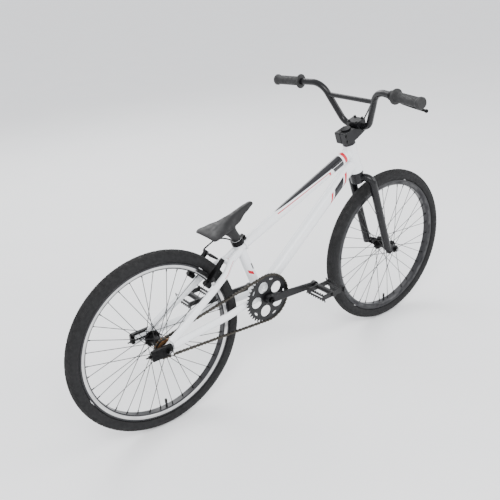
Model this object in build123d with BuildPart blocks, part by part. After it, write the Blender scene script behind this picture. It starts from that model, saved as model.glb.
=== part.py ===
from build123d import *
from math import atan2, cos, degrees, pi, radians, sin, sqrt, tan
import os

# A 24 inch BMX cruiser with a rear rim brake. Millimetres, +X forward, +Y to the rider's left,
# +Z up. The origin is on the ground, midway between the two wheels. The chain is on the right.

# ---- driving sizes -------------------------------------------------------------------------
wheel_base = 1012.0
tyre_diameter = 596.0
tyre_width = 45.0
bead_diameter = 507.0
rim_depth = 20.0
rim_width = 29.0
rim_lip = 6.5
rim_wall = 2.2
spoke_count = 36
spoke_diameter = 2.2
nipple_hole = 5.0
valve_diameter = 8.0

head_angle = 73.5
head_tube_length = 108.0
head_tube_top_radius = 23.0
head_tube_bottom_radius = 28.0
fork_offset = 55.0
axle_to_crown = 359.4
lower_stack = 12.0
steerer_radius = 14.3
steerer_base_radius = 19.0
fork_leg_spacing = 104.0
fork_leg_radius = 14.0
fork_leg_lead = 20.0
front_hub_width = 100.0
front_axle_radius = 4.75

chainring_teeth = 41
cog_teeth = 16
chain_pitch = 12.7
ring_wrap = 11
cog_wrap = 4
free_links = 31
chain_line = 44.0
chain_drop = 19.0
rear_hub_width = 110.0
rear_axle_radius = 5.0
dropout_thickness = 6.0

seat_angle = 71.0
seat_tube_length = 236.0
seat_tube_radius = 15.9
seat_post_radius = 13.6
seat_post_depth = 120.0
stay_seat_height = 202.0
seat_stay_slope = 30.5
tube_wall = 1.6
top_tube_drop = 30.5
top_tube_rear_radius = 15.5
down_tube_drop = 72.7
down_tube_radius = 20.5
shell_radius = 24.5
shell_length = 68.0
spindle_radius = 9.5

crank_length = 175.0
crank_inner = 50.0
crank_sweep = 22.0
crank_thickness = 14.0
pedal_length = 88.0
pedal_depth = 92.0
pedal_axle_radius = 4.8

bar_radius = 11.1
bar_half_width = 334.0
bar_rise = 144.4
bar_back_sweep = 8.2
bar_up_sweep = 0.8
bar_knee = 127.0
bar_base = 55.0
crossbar_radius = 8.0
crossbar_drop = 40.8
stem_reach = 52.0
stem_rise = 43.0
stem_width = 50.0
stem_base = 13.0
grip_length = 117.0
grip_radius = 16.0

cable_diameter = 5.0
running_gap = 0.05
body_gap = 0.5
turning_gap = 0.4

# ---- places worked out from the sizes ------------------------------------------------------
wheel_radius = tyre_diameter / 2
bead_radius = bead_diameter / 2
rear_axle_point = Vector(-wheel_base / 2, 0, wheel_radius)
front_axle_point = Vector(wheel_base / 2, 0, wheel_radius)
across = Vector(0, 1, 0)

steer_up = Vector(-cos(radians(head_angle)), 0, sin(radians(head_angle)))
steer_ahead = Vector(sin(radians(head_angle)), 0, cos(radians(head_angle)))
head_top = (
    front_axle_point
    - steer_ahead * fork_offset
    + steer_up * (axle_to_crown + lower_stack + head_tube_length)
)
# local coordinates on this plane: ahead of the steering axis, to the left, up the axis
steering = Plane(origin=head_top, x_dir=steer_ahead, z_dir=steer_up)
steering_profile = Plane(origin=head_top, x_dir=steer_ahead, z_dir=-across)


def pitch_radius(teeth):
    return chain_pitch / (2 * sin(pi / teeth))


ring_radius = pitch_radius(chainring_teeth)
cog_radius = pitch_radius(cog_teeth)
ring_angle = radians(360 / chainring_teeth * ring_wrap)
cog_angle = radians(360 / cog_teeth * cog_wrap)
run_drop = ring_radius * sin(ring_angle) - cog_radius * sin(cog_angle)
run_length = sqrt((free_links * chain_pitch) ** 2 - run_drop**2)
stay_length = run_length - ring_radius * cos(ring_angle) - cog_radius * cos(cog_angle)
crank_point = rear_axle_point + Vector(sqrt(stay_length**2 - chain_drop**2), 0, chain_drop)

seat_up = Vector(-cos(radians(seat_angle)), 0, sin(radians(seat_angle)))
seat_ahead = Vector(sin(radians(seat_angle)), 0, cos(radians(seat_angle)))
seat_top = crank_point + seat_up * seat_tube_length
stay_point = crank_point + seat_up * stay_seat_height
stay_back = Vector(-cos(radians(seat_stay_slope)), 0, -sin(radians(seat_stay_slope)))
top_tube_front = head_top - steer_up * top_tube_drop
down_tube_front = head_top - steer_up * down_tube_drop

dropout_inner = rear_hub_width / 2
dropout_outer = dropout_inner + dropout_thickness
fork_tip_inner = front_hub_width / 2


def from_steering(ahead, left, up):
    return head_top + steer_ahead * ahead + across * left + steer_up * up


def centre_of(a, b):
    return (a + b) * 0.5


# ---- small helpers -------------------------------------------------------------------------
def rod(start, end, radius, inner=0.0):
    """A round bar or tube from one point to another."""
    with BuildPart() as piece:
        with BuildSketch(Plane(origin=start, z_dir=end - start)):
            Circle(radius)
            if inner:
                Circle(inner, mode=Mode.SUBTRACT)
        extrude(amount=(end - start).length)
    return piece.part


def tapered(start, end, half_start, half_end, wall):
    """A hollow oval tube: each half size is (sideways, upright)."""
    length = (end - start).length
    here = Plane(origin=start, x_dir=across, z_dir=end - start)
    with BuildPart() as piece:
        with BuildSketch(here):
            Ellipse(*half_start)
        with BuildSketch(here.offset(length)):
            Ellipse(*half_end)
        loft()
        if wall:
            with BuildSketch(here):
                Ellipse(half_start[0] - wall, half_start[1] - wall)
            with BuildSketch(here.offset(length)):
                Ellipse(half_end[0] - wall, half_end[1] - wall)
            loft(mode=Mode.SUBTRACT)
    return piece.part


def arc_radii(points):
    """The largest arcs that the runs of a cable's route allow."""
    radii = []
    for before, corner, after in zip(points, points[1:], points[2:]):
        first = corner - before
        second = after - corner
        half_turn = radians(first.get_angle(second)) / 2
        radii.append(0.45 * min(first.length, second.length) / tan(half_turn))
    return radii


def cable_tube(name, points, diameter):
    """A round cable along straight runs joined by arcs, with its lengths printed."""
    corners = [Vector(*point) for point in points]
    radii = arc_radii(corners)
    with BuildPart() as piece:
        with BuildLine() as route:
            FilletPolyline(*corners, radius=radii)
        with BuildSketch(Plane(origin=corners[0], z_dir=corners[1] - corners[0])):
            Circle(diameter / 2)
        sweep()
    length = sum(edge.length for edge in route.edges())
    section = pi * diameter**2 / 4
    print(name, "length", round(length), "radii", [round(radius) for radius in radii])
    print(name, "volume over section times length", round(piece.part.volume / section / length, 4))
    return piece


# ---- frame tubes ---------------------------------------------------------------------------
with BuildPart() as head_outer:
    with BuildSketch(steering_profile):
        with BuildLine():
            Polyline(
                (0, 0),
                (head_tube_top_radius, 0),
                (head_tube_top_radius, -head_tube_length * 0.35),
            )
            Spline(
                (head_tube_top_radius, -head_tube_length * 0.35),
                (head_tube_bottom_radius, -head_tube_length * 0.93),
                tangents=((0, -1), (0.25, -1)),
            )
            Polyline(
                (head_tube_bottom_radius, -head_tube_length * 0.93),
                (head_tube_bottom_radius, -head_tube_length),
                (0, -head_tube_length),
                (0, 0),
            )
        make_face()
    revolve(axis=Axis(head_top, steer_up))

bearing_height = 8.0
upper_bearing_radius = head_tube_top_radius - 2.5
lower_bearing_radius = head_tube_bottom_radius - 3.0

with BuildPart() as head_tube:
    add(head_outer.part)
    with BuildSketch(steering.offset(-bearing_height)):
        Circle(upper_bearing_radius - 2)
    with BuildSketch(steering.offset(-head_tube_length + bearing_height)):
        Circle(lower_bearing_radius - 2)
    loft(mode=Mode.SUBTRACT)
    with BuildSketch(steering):
        Circle(upper_bearing_radius)
    extrude(amount=-bearing_height, mode=Mode.SUBTRACT)
    with BuildSketch(steering.offset(-head_tube_length)):
        Circle(lower_bearing_radius)
    extrude(amount=bearing_height, mode=Mode.SUBTRACT)
head_tube.part.label = "head_tube"

with BuildPart() as headset_bearings:
    with BuildSketch(steering):
        Circle(upper_bearing_radius)
        Circle(steerer_radius + running_gap, mode=Mode.SUBTRACT)
    extrude(amount=-bearing_height)
    with BuildSketch(steering.offset(-head_tube_length)):
        Circle(lower_bearing_radius)
        Circle(steerer_base_radius + running_gap, mode=Mode.SUBTRACT)
    extrude(amount=bearing_height)
headset_bearings.part.label = "headset_bearings"

shell_ends = (crank_point - across * shell_length / 2, crank_point + across * shell_length / 2)
shell_outer = rod(*shell_ends, shell_radius)
shell_bore = shell_radius - 3.5
with BuildPart() as bottom_bracket_shell:
    add(rod(*shell_ends, shell_radius, shell_bore))
bottom_bracket_shell.part.label = "bottom_bracket_shell"

cup_width = 9.0
with BuildPart() as bottom_bracket_bearings:
    for side in (-1, 1):
        outer_end = crank_point + across * side * shell_length / 2
        add(rod(outer_end - across * side * cup_width, outer_end, shell_bore, spindle_radius + running_gap))
bottom_bracket_bearings.part.label = "bottom_bracket_bearings"

seat_outer = rod(crank_point, seat_top, seat_tube_radius)
with BuildPart() as seat_tube:
    add(rod(crank_point, seat_top, seat_tube_radius, seat_post_radius + running_gap))
    add(shell_outer, mode=Mode.SUBTRACT)
seat_tube.part.label = "seat_tube"

down_tube_sizes = ((21.0, 21.0), (down_tube_radius, 23.0))
down_outer = tapered(crank_point, down_tube_front, *down_tube_sizes, 0)
with BuildPart() as down_tube:
    add(tapered(crank_point, down_tube_front, *down_tube_sizes, tube_wall))
    add(shell_outer, mode=Mode.SUBTRACT)
    add(head_outer.part, mode=Mode.SUBTRACT)
    add(seat_outer, mode=Mode.SUBTRACT)
down_tube.part.label = "down_tube"

top_tube_sizes = ((top_tube_rear_radius, top_tube_rear_radius), (19.0, 22.0))
with BuildPart() as top_tube:
    add(tapered(stay_point, top_tube_front, *top_tube_sizes, tube_wall))
    add(seat_outer, mode=Mode.SUBTRACT)
    add(head_outer.part, mode=Mode.SUBTRACT)
    add(down_outer, mode=Mode.SUBTRACT)
top_tube.part.label = "top_tube"


# ---- stays ---------------------------------------------------------------------------------
def bent_tube(plane, outline, radius, half_sizes):
    """A solid oval bar bent in its plane; outline points are (distance back, distance aside)."""
    with BuildLine(plane) as route:
        FilletPolyline(*outline, radius=radius)
    path = route.wires()[0]
    with BuildPart() as piece:
        with BuildSketch(Plane(origin=path @ 0, x_dir=plane.z_dir, z_dir=path % 0)):
            Ellipse(*half_sizes)
        sweep(path=path)
    return piece.part


def stay_tube(plane, outline, radius, half_sizes, cutters):
    """A hollow stay, cut where it meets its neighbours."""
    with BuildPart() as piece:
        add(bent_tube(plane, outline, radius, half_sizes))
        inner = (half_sizes[0] - tube_wall, half_sizes[1] - tube_wall)
        add(bent_tube(plane, outline, radius, inner), mode=Mode.SUBTRACT)
        for cutter in cutters:
            add(cutter, mode=Mode.SUBTRACT)
    return piece.part.solids().sort_by(SortBy.VOLUME)[-1]


def stay_plane(start, end):
    return Plane(origin=start, x_dir=end - start, z_dir=(end - start).cross(across))


stay_end_y = dropout_inner + dropout_thickness / 2 + 1.5
stay_half = (13.0, 8.0)

chain_stay_start = crank_point + Vector(-12, 0, 0)
chain_stay_end = rear_axle_point + Vector(20, 0, 6)
chain_stay_flat = stay_plane(chain_stay_start, chain_stay_end)
chain_stay_run = (chain_stay_end - chain_stay_start).length
chain_stay_cuts = (shell_outer, seat_outer)
chain_stay_sides = {}
chain_stay_outlines = {}
for side in (-1, 1):
    outline = (
        (0, side * 22),
        (chain_stay_run * 0.23, side * 31),
        (chain_stay_run * 0.40, side * 43),
        (chain_stay_run, side * stay_end_y),
    )
    chain_stay_outlines[side] = outline
    chain_stay_sides[side] = stay_tube(chain_stay_flat, outline, 60, stay_half, chain_stay_cuts)
with BuildPart() as chain_stays:
    add(chain_stay_sides[-1])
    add(chain_stay_sides[1])
chain_stays.part.label = "chain_stays"

seat_stay_end = stay_point + stay_back * ((stay_point.X - rear_axle_point.X - 16) / -stay_back.X)
seat_stay_flat = stay_plane(stay_point, seat_stay_end)
seat_stay_run = (seat_stay_end - stay_point).length
seat_stay_half = (12.5, 8.5)
wishbone_half = 9.5
seat_stay_sides = {}
seat_stay_outlines = {}
for side in (-1, 1):
    outline = (
        (0, side * 11),
        (seat_stay_run * 0.14, side * 13),
        (seat_stay_run * 0.28, side * 39),
        (seat_stay_run * 0.45, side * 47),
        (seat_stay_run * 0.83, side * (stay_end_y - 1)),
        (seat_stay_run, side * stay_end_y),
    )
    seat_stay_outlines[side] = outline
    seat_stay_sides[side] = stay_tube(
        seat_stay_flat, outline, 30, seat_stay_half, (seat_outer, *chain_stay_sides.values())
    )
wishbone_back = stay_point + stay_back * seat_stay_run * 0.17


def side_view(centre, y):
    """Local coordinates run ahead and up from the centre; a sketch is extruded to the right."""
    return Plane(origin=(centre.X, y, centre.Z), x_dir=(1, 0, 0), z_dir=(0, -1, 0))


# ---- rear brake places ---------------------------------------------------------------------
brake_foot = stay_point + stay_back * 162.0
brake_stand = 37.0
foot_reach = brake_foot - rear_axle_point
pivot_radius = sqrt(foot_reach.length**2 - brake_stand**2)
brake_angle = atan2(foot_reach.Z, foot_reach.X) + atan2(brake_stand, pivot_radius)
brake_out = Vector(cos(brake_angle), 0, sin(brake_angle))
brake_back = Vector(-sin(brake_angle), 0, cos(brake_angle))
brake_spread = 47.0
brake_pivot = rear_axle_point + brake_out * pivot_radius
# local coordinates: to the left, away from the wheel's axle
brake_flat = Plane(origin=brake_pivot, x_dir=across, z_dir=-brake_back)
stud_radius = 5.0
boss_radius = 8.0
boss_top = brake_stand - 12.5
stud_top = brake_stand + 10.0

with BuildPart() as seat_stays:
    add(seat_stay_sides[-1])
    add(seat_stay_sides[1])
    add(rod(wishbone_back - across * 14, wishbone_back + across * 14, wishbone_half))
    for side in (-1, 1):
        foot = brake_foot + across * side * brake_spread
        add(rod(foot + brake_back * 11, foot + brake_back * boss_top, boss_radius))
        add(rod(foot + brake_back * boss_top, foot + brake_back * stud_top, stud_radius))
seat_stays.part.label = "seat_stays"

# ---- rear dropouts, chain tensioners, axle -------------------------------------------------
slot_gap = 0.2
dropout_back = 46.0
stay_outers = (
    bent_tube(seat_stay_flat, seat_stay_outlines[-1], 30, seat_stay_half),
    bent_tube(seat_stay_flat, seat_stay_outlines[1], 30, seat_stay_half),
    bent_tube(chain_stay_flat, chain_stay_outlines[-1], 60, stay_half),
    bent_tube(chain_stay_flat, chain_stay_outlines[1], 60, stay_half),
)
with BuildPart() as dropout_plates:
    for start in (dropout_outer, -dropout_inner):
        with BuildSketch(side_view(rear_axle_point, start)):
            with BuildLine():
                Polyline(
                    (-dropout_back, -13),
                    (10, -15),
                    (38, -8),
                    (44, 18),
                    (22, 34),
                    (8, 26),
                    (-8, 14),
                    (-dropout_back, 13),
                    close=True,
                )
            make_face()
        extrude(amount=dropout_thickness)
    for outer in stay_outers:
        add(outer, mode=Mode.SUBTRACT)
    with BuildSketch(side_view(rear_axle_point, dropout_outer)):
        Circle(rear_axle_radius + slot_gap)
        with Locations((-dropout_back / 2, 0)):
            Rectangle(dropout_back, 2 * (rear_axle_radius + slot_gap))
    extrude(amount=2 * dropout_outer, mode=Mode.SUBTRACT)
with BuildPart() as rear_dropouts:
    add(dropout_plates.part.solids().sort_by(SortBy.VOLUME)[-2:])
rear_dropouts.part.label = "rear_dropouts"

tensioner_thickness = 11.0
tensioner_outer = dropout_outer + tensioner_thickness
tensioner_back = 58.0
tensioner_end = 8.0
adjuster_radius = 2.4
with BuildPart() as chain_tensioners:
    for start in (tensioner_outer, -dropout_outer):
        with BuildSketch(side_view(rear_axle_point, start)):
            with Locations((-(tensioner_back - 14) / 2, 4)):
                RectangleRounded(tensioner_back + 14, 34, 6)
        extrude(amount=tensioner_thickness)
    for start in (dropout_outer, -dropout_inner):
        with BuildSketch(side_view(rear_axle_point, start)):
            with Locations((-tensioner_back + tensioner_end / 2, 0)):
                Rectangle(tensioner_end, 20)
        extrude(amount=dropout_thickness)
    for side in (-1, 1):
        side_point = rear_axle_point + across * side * dropout_outer
        add(rod(side_point, side_point + across * side * 12, rear_axle_radius), mode=Mode.SUBTRACT)
        bolt_line = rear_axle_point + across * side * (dropout_inner + dropout_thickness / 2)
        start = bolt_line - Vector(tensioner_back + 1, 0, 0)
        add(rod(start, bolt_line - Vector(dropout_back, 0, 0), adjuster_radius), mode=Mode.SUBTRACT)
chain_tensioners.part.label = "chain_tensioners"

cone_length = 8.0
rear_cone_radius = 9.0
axle_nut_height = 10.0
axle_stub = 8.0
axle_stub_step = 0.4
rear_axle_half = tensioner_outer + axle_nut_height + axle_stub


def make_axle(centre, half_length, radius, hub_half, cone_radius):
    """An axle with a cone at each end of the hub, against the dropouts."""
    ends = across * half_length
    threaded = across * (half_length - axle_stub)
    with BuildPart() as piece:
        add(rod(centre - ends, centre + ends, radius - axle_stub_step))
        add(rod(centre - threaded, centre + threaded, radius))
        for side in (-1, 1):
            outer_end = centre + across * side * hub_half
            add(rod(outer_end - across * side * cone_length, outer_end, cone_radius))
        chamfer(piece.edges().sort_by(Axis.Y)[0], 1)
        chamfer(piece.edges().sort_by(Axis.Y)[-1], 1)
    return piece.part


with BuildPart() as rear_axle:
    add(make_axle(rear_axle_point, rear_axle_half, rear_axle_radius, dropout_inner, rear_cone_radius))
rear_axle.part.label = "rear_axle"


def axle_nut(centre, inner_y, side, radius, across_flats, height):
    """A flanged hexagon nut outside a dropout."""
    start = centre + across * side * inner_y
    outward = Plane(origin=start, x_dir=(1, 0, 0), z_dir=across * side)
    with BuildPart() as piece:
        with BuildSketch(outward):
            Circle(across_flats * 0.68)
        extrude(amount=2)
        with BuildSketch(outward):
            RegularPolygon(across_flats / 2, 6, major_radius=False)
        extrude(amount=height)
        chamfer(piece.faces().sort_by(Axis.Y)[-1 if side > 0 else 0].edges(), 0.8)
        with BuildSketch(outward):
            Circle(radius)
        extrude(amount=height, mode=Mode.SUBTRACT)
    return piece.part


# ---- seat clamp ----------------------------------------------------------------------------
seat_view = Plane(origin=seat_top, x_dir=seat_ahead, z_dir=seat_up)
collar_height = seat_tube_length - stay_seat_height - top_tube_rear_radius - 2.5
collar_radius = 21.0
collar_bolt_ahead = 25.0
collar_bolt_up = -collar_height / 2
collar_bolt_radius = 2.5
collar_ear_y = 9.0
collar_bolt_point = seat_top + seat_ahead * collar_bolt_ahead + seat_up * collar_bolt_up
with BuildPart() as seat_collar:
    with BuildSketch(seat_view):
        Circle(collar_radius)
        with Locations((collar_bolt_ahead / 2 + 3, 0)):
            Rectangle(collar_bolt_ahead + 4, 2 * collar_ear_y)
        Circle(seat_tube_radius, mode=Mode.SUBTRACT)
        with Locations((collar_radius, 0)):
            Rectangle(30, 3, mode=Mode.SUBTRACT)
    extrude(amount=-collar_height)
    add(
        rod(collar_bolt_point - across * 20, collar_bolt_point + across * 20, collar_bolt_radius),
        mode=Mode.SUBTRACT,
    )
seat_collar.part.label = "seat_collar"

with BuildPart() as frame_fasteners:
    for side in (-1, 1):
        add(axle_nut(rear_axle_point, tensioner_outer, side, rear_axle_radius, 15, axle_nut_height))
        stud_end = brake_foot + across * side * brake_spread + brake_back * stud_top
        add(rod(stud_end, stud_end + brake_back * 4, stud_radius + 2))
        bolt_line = rear_axle_point + across * side * (dropout_inner + dropout_thickness / 2)
        bolt_end = bolt_line - Vector(tensioner_back + 14, 0, 0)
        add(rod(bolt_end, bolt_line - Vector(dropout_back + 2, 0, 0), adjuster_radius))
        nut_face = bolt_line - Vector(tensioner_back, 0, 0)
        with BuildSketch(Plane(origin=nut_face, z_dir=(-1, 0, 0))):
            RegularPolygon(5, 6, major_radius=False)
        extrude(amount=5)
    head_side = collar_bolt_point - across * collar_ear_y
    add(rod(head_side - across * 5, head_side, collar_bolt_radius + 2))
    add(rod(head_side, collar_bolt_point + across * (collar_ear_y + 3), collar_bolt_radius))
frame_fasteners.part.label = "frame_fasteners"


# ---- brake cable along the frame -----------------------------------------------------------
cable_gap = 0.5
cord_end_gap = 0.4
top_run = top_tube_front - stay_point
top_outer = tapered(stay_point, top_tube_front, *top_tube_sizes, 0)


def beside_top_tube(share):
    """A point of the cable along the left side of the top tube."""
    rear_half, front_half = top_tube_sizes[0][0], top_tube_sizes[1][0]
    half_width = rear_half + (front_half - rear_half) * share
    return stay_point + top_run * share + across * (half_width + cable_gap + cable_diameter / 2)


cable_rear_share = 0.10
cable_front_share = 0.86
cable_rear_end = beside_top_tube(cable_rear_share)
cable_front_end = beside_top_tube(cable_front_share)
with BuildPart() as brake_cable_frame:
    add(rod(cable_rear_end, cable_front_end, cable_diameter / 2))
brake_cable_frame.part.label = "brake_cable_frame"
print("brake_cable_frame length", round((cable_front_end - cable_rear_end).length))

clip_radius = 4.5
clip_length = 10.0
with BuildPart() as cable_clips:
    for share in (0.2, 0.5, 0.8):
        half_clip = top_run.normalized() * clip_length / 2
        middle = beside_top_tube(share)
        add(rod(middle - half_clip, middle + half_clip, clip_radius))
    add(top_outer, mode=Mode.SUBTRACT)
    add(rod(cable_rear_end, cable_front_end, cable_diameter / 2), mode=Mode.SUBTRACT)
cable_clips.part.label = "cable_clips"

noodle_height = 84.0
noodle_radius = 2.8
noodle_entry = brake_pivot + brake_out * noodle_height
noodle_points = (
    noodle_entry + across * 26,
    noodle_entry + across * 65,
    noodle_entry + Vector(24, 63, 12),
)
top_direction = top_run.normalized()
rear_loop = (
    noodle_points[2],
    noodle_points[2] * 2 - noodle_points[1],
    (-200, 51, 535),
    (-174, 36, 523),
    cable_rear_end - top_direction * 27,
    cable_rear_end - top_direction * cord_end_gap,
)
brake_cable_rear = cable_tube("brake_cable_rear", rear_loop, cable_diameter)
boot_length = 24.0
wire_start = noodle_points[0] - across * boot_length
wire_end = noodle_entry - across * (brake_spread + 12)
with BuildPart() as brake_wire:
    add(rod(wire_start, wire_end, 0.8))
with BuildPart() as brake_cable_rear_whole:
    add(brake_cable_rear.part)
    add(brake_wire.part)
brake_cable_rear_whole.part.label = "brake_cable_rear"

# ---- chain ---------------------------------------------------------------------------------
ring_centre = crank_point - across * chain_line
cog_centre = rear_axle_point - across * chain_line
to_cog = (cog_centre - ring_centre).normalized()
above = across.cross(to_cog) * -1
if above.Z < 0:
    above = above * -1


def roller_points():
    """Every roller's centre, round the chainring, along the top, round the cog and back."""
    points = []
    for step in range(-ring_wrap, ring_wrap + 1):
        turn = 2 * pi * step / chainring_teeth
        points.append(ring_centre + (above * sin(turn) - to_cog * cos(turn)) * ring_radius)
    cog_points = []
    for step in range(cog_wrap, -cog_wrap - 1, -1):
        turn = 2 * pi * step / cog_teeth
        cog_points.append(cog_centre + (above * sin(turn) + to_cog * cos(turn)) * cog_radius)
    top_start, low_end = points[-1], points[0]
    for step in range(1, free_links):
        points.append(top_start + (cog_points[0] - top_start) * (step / free_links))
    points.extend(cog_points)
    for step in range(1, free_links):
        points.append(cog_points[-1] + (low_end - cog_points[-1]) * (step / free_links))
    return points


roller_radius = 3.9
pin_radius = 1.8
plate_height = 4.0
plate_thickness = 1.0
inner_plate_y = 1.7
outer_plate_y = inner_plate_y + plate_thickness + 0.1


def link_outline():
    """The side plate of a link: two round ends and a straight waist."""
    with BuildSketch(Plane.XY) as outline:
        with GridLocations(chain_pitch, 0, 2, 1):
            Circle(plate_height)
        Rectangle(chain_pitch, plate_height * 1.4)
    return outline.sketch


with BuildPart() as inner_link:
    for start in (inner_plate_y, -inner_plate_y - plate_thickness):
        with BuildSketch(Plane.XY.offset(start)):
            add(link_outline())
        extrude(amount=plate_thickness)
    with BuildSketch(Plane.XY.offset(-inner_plate_y)):
        with GridLocations(chain_pitch, 0, 2, 1):
            Circle(roller_radius)
    extrude(amount=2 * inner_plate_y)
    with GridLocations(chain_pitch, 0, 2, 1):
        Hole(pin_radius + running_gap)

with BuildPart() as outer_link:
    for start in (outer_plate_y, -outer_plate_y - plate_thickness):
        with BuildSketch(Plane.XY.offset(start)):
            add(link_outline())
        extrude(amount=plate_thickness)
    pin_end = outer_plate_y + plate_thickness + 0.6
    with BuildSketch(Plane.XY.offset(-pin_end)):
        with GridLocations(chain_pitch, 0, 2, 1):
            Circle(pin_radius)
    extrude(amount=2 * pin_end)

rollers = roller_points()
link_places = [
    Plane(origin=centre_of(first, second), x_dir=second - first, z_dir=across).location
    for first, second in zip(rollers, rollers[1:] + rollers[:1])
]
with BuildPart() as chain:
    with Locations(*link_places[0::2]):
        add(outer_link.part)
    with Locations(*link_places[1::2]):
        add(inner_link.part)
chain.part.label = "chain"
print("chain links", len(link_places))

# ---- fork ----------------------------------------------------------------------------------
crown_top = -head_tube_length - lower_stack
crown_bottom = crown_top - 36.0
crown_radius = 24.0
steerer_top = stem_base + 43.5
with BuildPart() as fork_steerer:
    with BuildSketch(steering_profile):
        with BuildLine():
            Polyline(
                (0, crown_bottom),
                (crown_radius - 4, crown_bottom),
                (crown_radius, crown_bottom + 4),
                (crown_radius, crown_top),
                (steerer_base_radius, crown_top),
                (steerer_base_radius, -head_tube_length + bearing_height + 4),
                (steerer_radius, -head_tube_length + bearing_height + 34),
                (steerer_radius, steerer_top),
                (steerer_radius - 3, steerer_top),
                (steerer_radius - 3, crown_top + 20),
                (0, crown_top + 20),
                close=True,
            )
        make_face()
    revolve(axis=Axis(head_top, steer_up))
fork_steerer.part.label = "fork_steerer"

crown_outer = rod(from_steering(0, 0, crown_bottom), from_steering(0, 0, crown_top), crown_radius)
shoulder_up = crown_top - 17.0
axle_up = crown_top - axle_to_crown
leg_end_up = axle_up + 27.0
tip_thickness = 6.0


def fork_leg(side):
    """A bent hollow leg with its slotted tip, welded to the crown."""
    half_spacing = fork_leg_spacing / 2
    corners = [
        from_steering(4, side * 4, shoulder_up),
        from_steering(fork_leg_lead, side * half_spacing, shoulder_up - 2),
        from_steering(fork_leg_lead, side * half_spacing, leg_end_up),
    ]
    with BuildLine() as route:
        FilletPolyline(*corners, radius=[27])
    path = route.wires()[0]
    tip_inner = fork_tip_inner if side > 0 else -fork_tip_inner
    tip_flat = Plane(
        origin=from_steering(0, tip_inner, 0), x_dir=steer_ahead, z_dir=across * side
    )
    up_sign = -side
    with BuildPart() as leg:
        with BuildSketch(Plane(origin=path @ 0, z_dir=path % 0)):
            Circle(fork_leg_radius)
        sweep(path=path)
        with BuildSketch(Plane(origin=path @ 0, z_dir=path % 0)):
            Circle(fork_leg_radius - 2)
        sweep(path=path, mode=Mode.SUBTRACT)
        add(crown_outer, mode=Mode.SUBTRACT)
        with BuildSketch(tip_flat):
            with Locations((fork_leg_lead, up_sign * (leg_end_up + 8))):
                Circle(11)
            with Locations((fork_offset, up_sign * axle_up)):
                Circle(14)
            make_hull()
        extrude(amount=tip_thickness)
        with BuildSketch(tip_flat):
            with Locations((fork_offset, up_sign * axle_up)):
                Circle(front_axle_radius + slot_gap)
            with Locations((fork_offset, up_sign * (axle_up - 10))):
                Rectangle(2 * (front_axle_radius + slot_gap), 20)
        extrude(amount=tip_thickness, mode=Mode.SUBTRACT)
    return leg


fork_leg_left = fork_leg(1)
fork_leg_left.part.label = "fork_leg_left"
fork_leg_right = fork_leg(-1)
fork_leg_right.part.label = "fork_leg_right"

front_cone_radius = 8.0
front_axle_half = fork_tip_inner + tip_thickness + axle_nut_height + axle_stub
with BuildPart() as front_axle:
    add(make_axle(front_axle_point, front_axle_half, front_axle_radius, fork_tip_inner, front_cone_radius))
front_axle.part.label = "front_axle"

stem_back = 31.0
stem_top = stem_base + 42.0
cap_height = 3.0
with BuildPart() as headset_spacers:
    with BuildSketch(steering.offset(turning_gap)):
        Circle(22.5)
        Circle(steerer_radius, mode=Mode.SUBTRACT)
    extrude(amount=stem_base - turning_gap)
    with BuildSketch(steering.offset(crown_top)):
        Circle(crown_radius + 2)
        Circle(steerer_base_radius, mode=Mode.SUBTRACT)
    extrude(amount=lower_stack - turning_gap)
    with BuildSketch(steering.offset(steerer_top + 0.5)):
        Circle(17)
    extrude(amount=cap_height)
headset_spacers.part.label = "headset_spacers"

# ---- stem ----------------------------------------------------------------------------------
bar_centre = from_steering(stem_reach, 0, stem_rise)
clamp_half = 20.0
clamp_gap = 1.0
clamp_height = 23.0
stem_bolt_ahead = 15.5
stem_bolt_left = 17.0
stem_bolt_radius = 2.8
pinch_bolt_back = 24.0
bar_ends = (bar_centre - across * bar_base, bar_centre + across * bar_base)
bar_bore = rod(*bar_ends, bar_radius)
with BuildPart() as stem_holes:
    for ahead in (-stem_bolt_ahead, stem_bolt_ahead):
        for left in (-stem_bolt_left, stem_bolt_left):
            low = from_steering(stem_reach + ahead, left, stem_base + 12)
            add(rod(low, from_steering(stem_reach + ahead, left, 80), stem_bolt_radius))
    for up in (stem_base + 11, stem_base + 31):
        ends = [from_steering(-pinch_bolt_back, left, up) for left in (-24, 20)]
        add(rod(*ends, stem_bolt_radius))

with BuildPart() as stem:
    with BuildSketch(steering_profile):
        with BuildLine():
            Polyline(
                (-stem_back, stem_base),
                (18, stem_base),
                (stem_reach + clamp_half, stem_rise - 18),
                (stem_reach + clamp_half, stem_rise),
                (stem_reach - clamp_half, stem_rise),
                (16, stem_top),
                (-stem_back, stem_top),
                close=True,
            )
        make_face()
    extrude(amount=stem_width / 2, both=True)
    fillet(edges().filter_by(Axis.Y), 3)
    with BuildSketch(steering.offset(stem_base)):
        Circle(steerer_radius)
    extrude(amount=60, mode=Mode.SUBTRACT)
    with BuildSketch(steering.offset(stem_base)):
        with Locations((-stem_back, 0)):
            Rectangle(2 * (stem_back - steerer_radius + 2), 3)
    extrude(amount=60, mode=Mode.SUBTRACT)
    add(bar_bore, mode=Mode.SUBTRACT)
    add(stem_holes.part, mode=Mode.SUBTRACT)
stem.part.label = "stem"

with BuildPart() as stem_clamp_plate:
    with BuildSketch(steering_profile):
        with Locations((stem_reach, stem_rise + clamp_gap)):
            Rectangle(2 * clamp_half, clamp_height - clamp_gap, align=(Align.CENTER, Align.MIN))
    extrude(amount=stem_width / 2, both=True)
    fillet(edges().filter_by(Axis.Y), 4)
    add(bar_bore, mode=Mode.SUBTRACT)
    add(stem_holes.part, mode=Mode.SUBTRACT)
stem_clamp_plate.part.label = "stem_clamp_plate"

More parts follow.
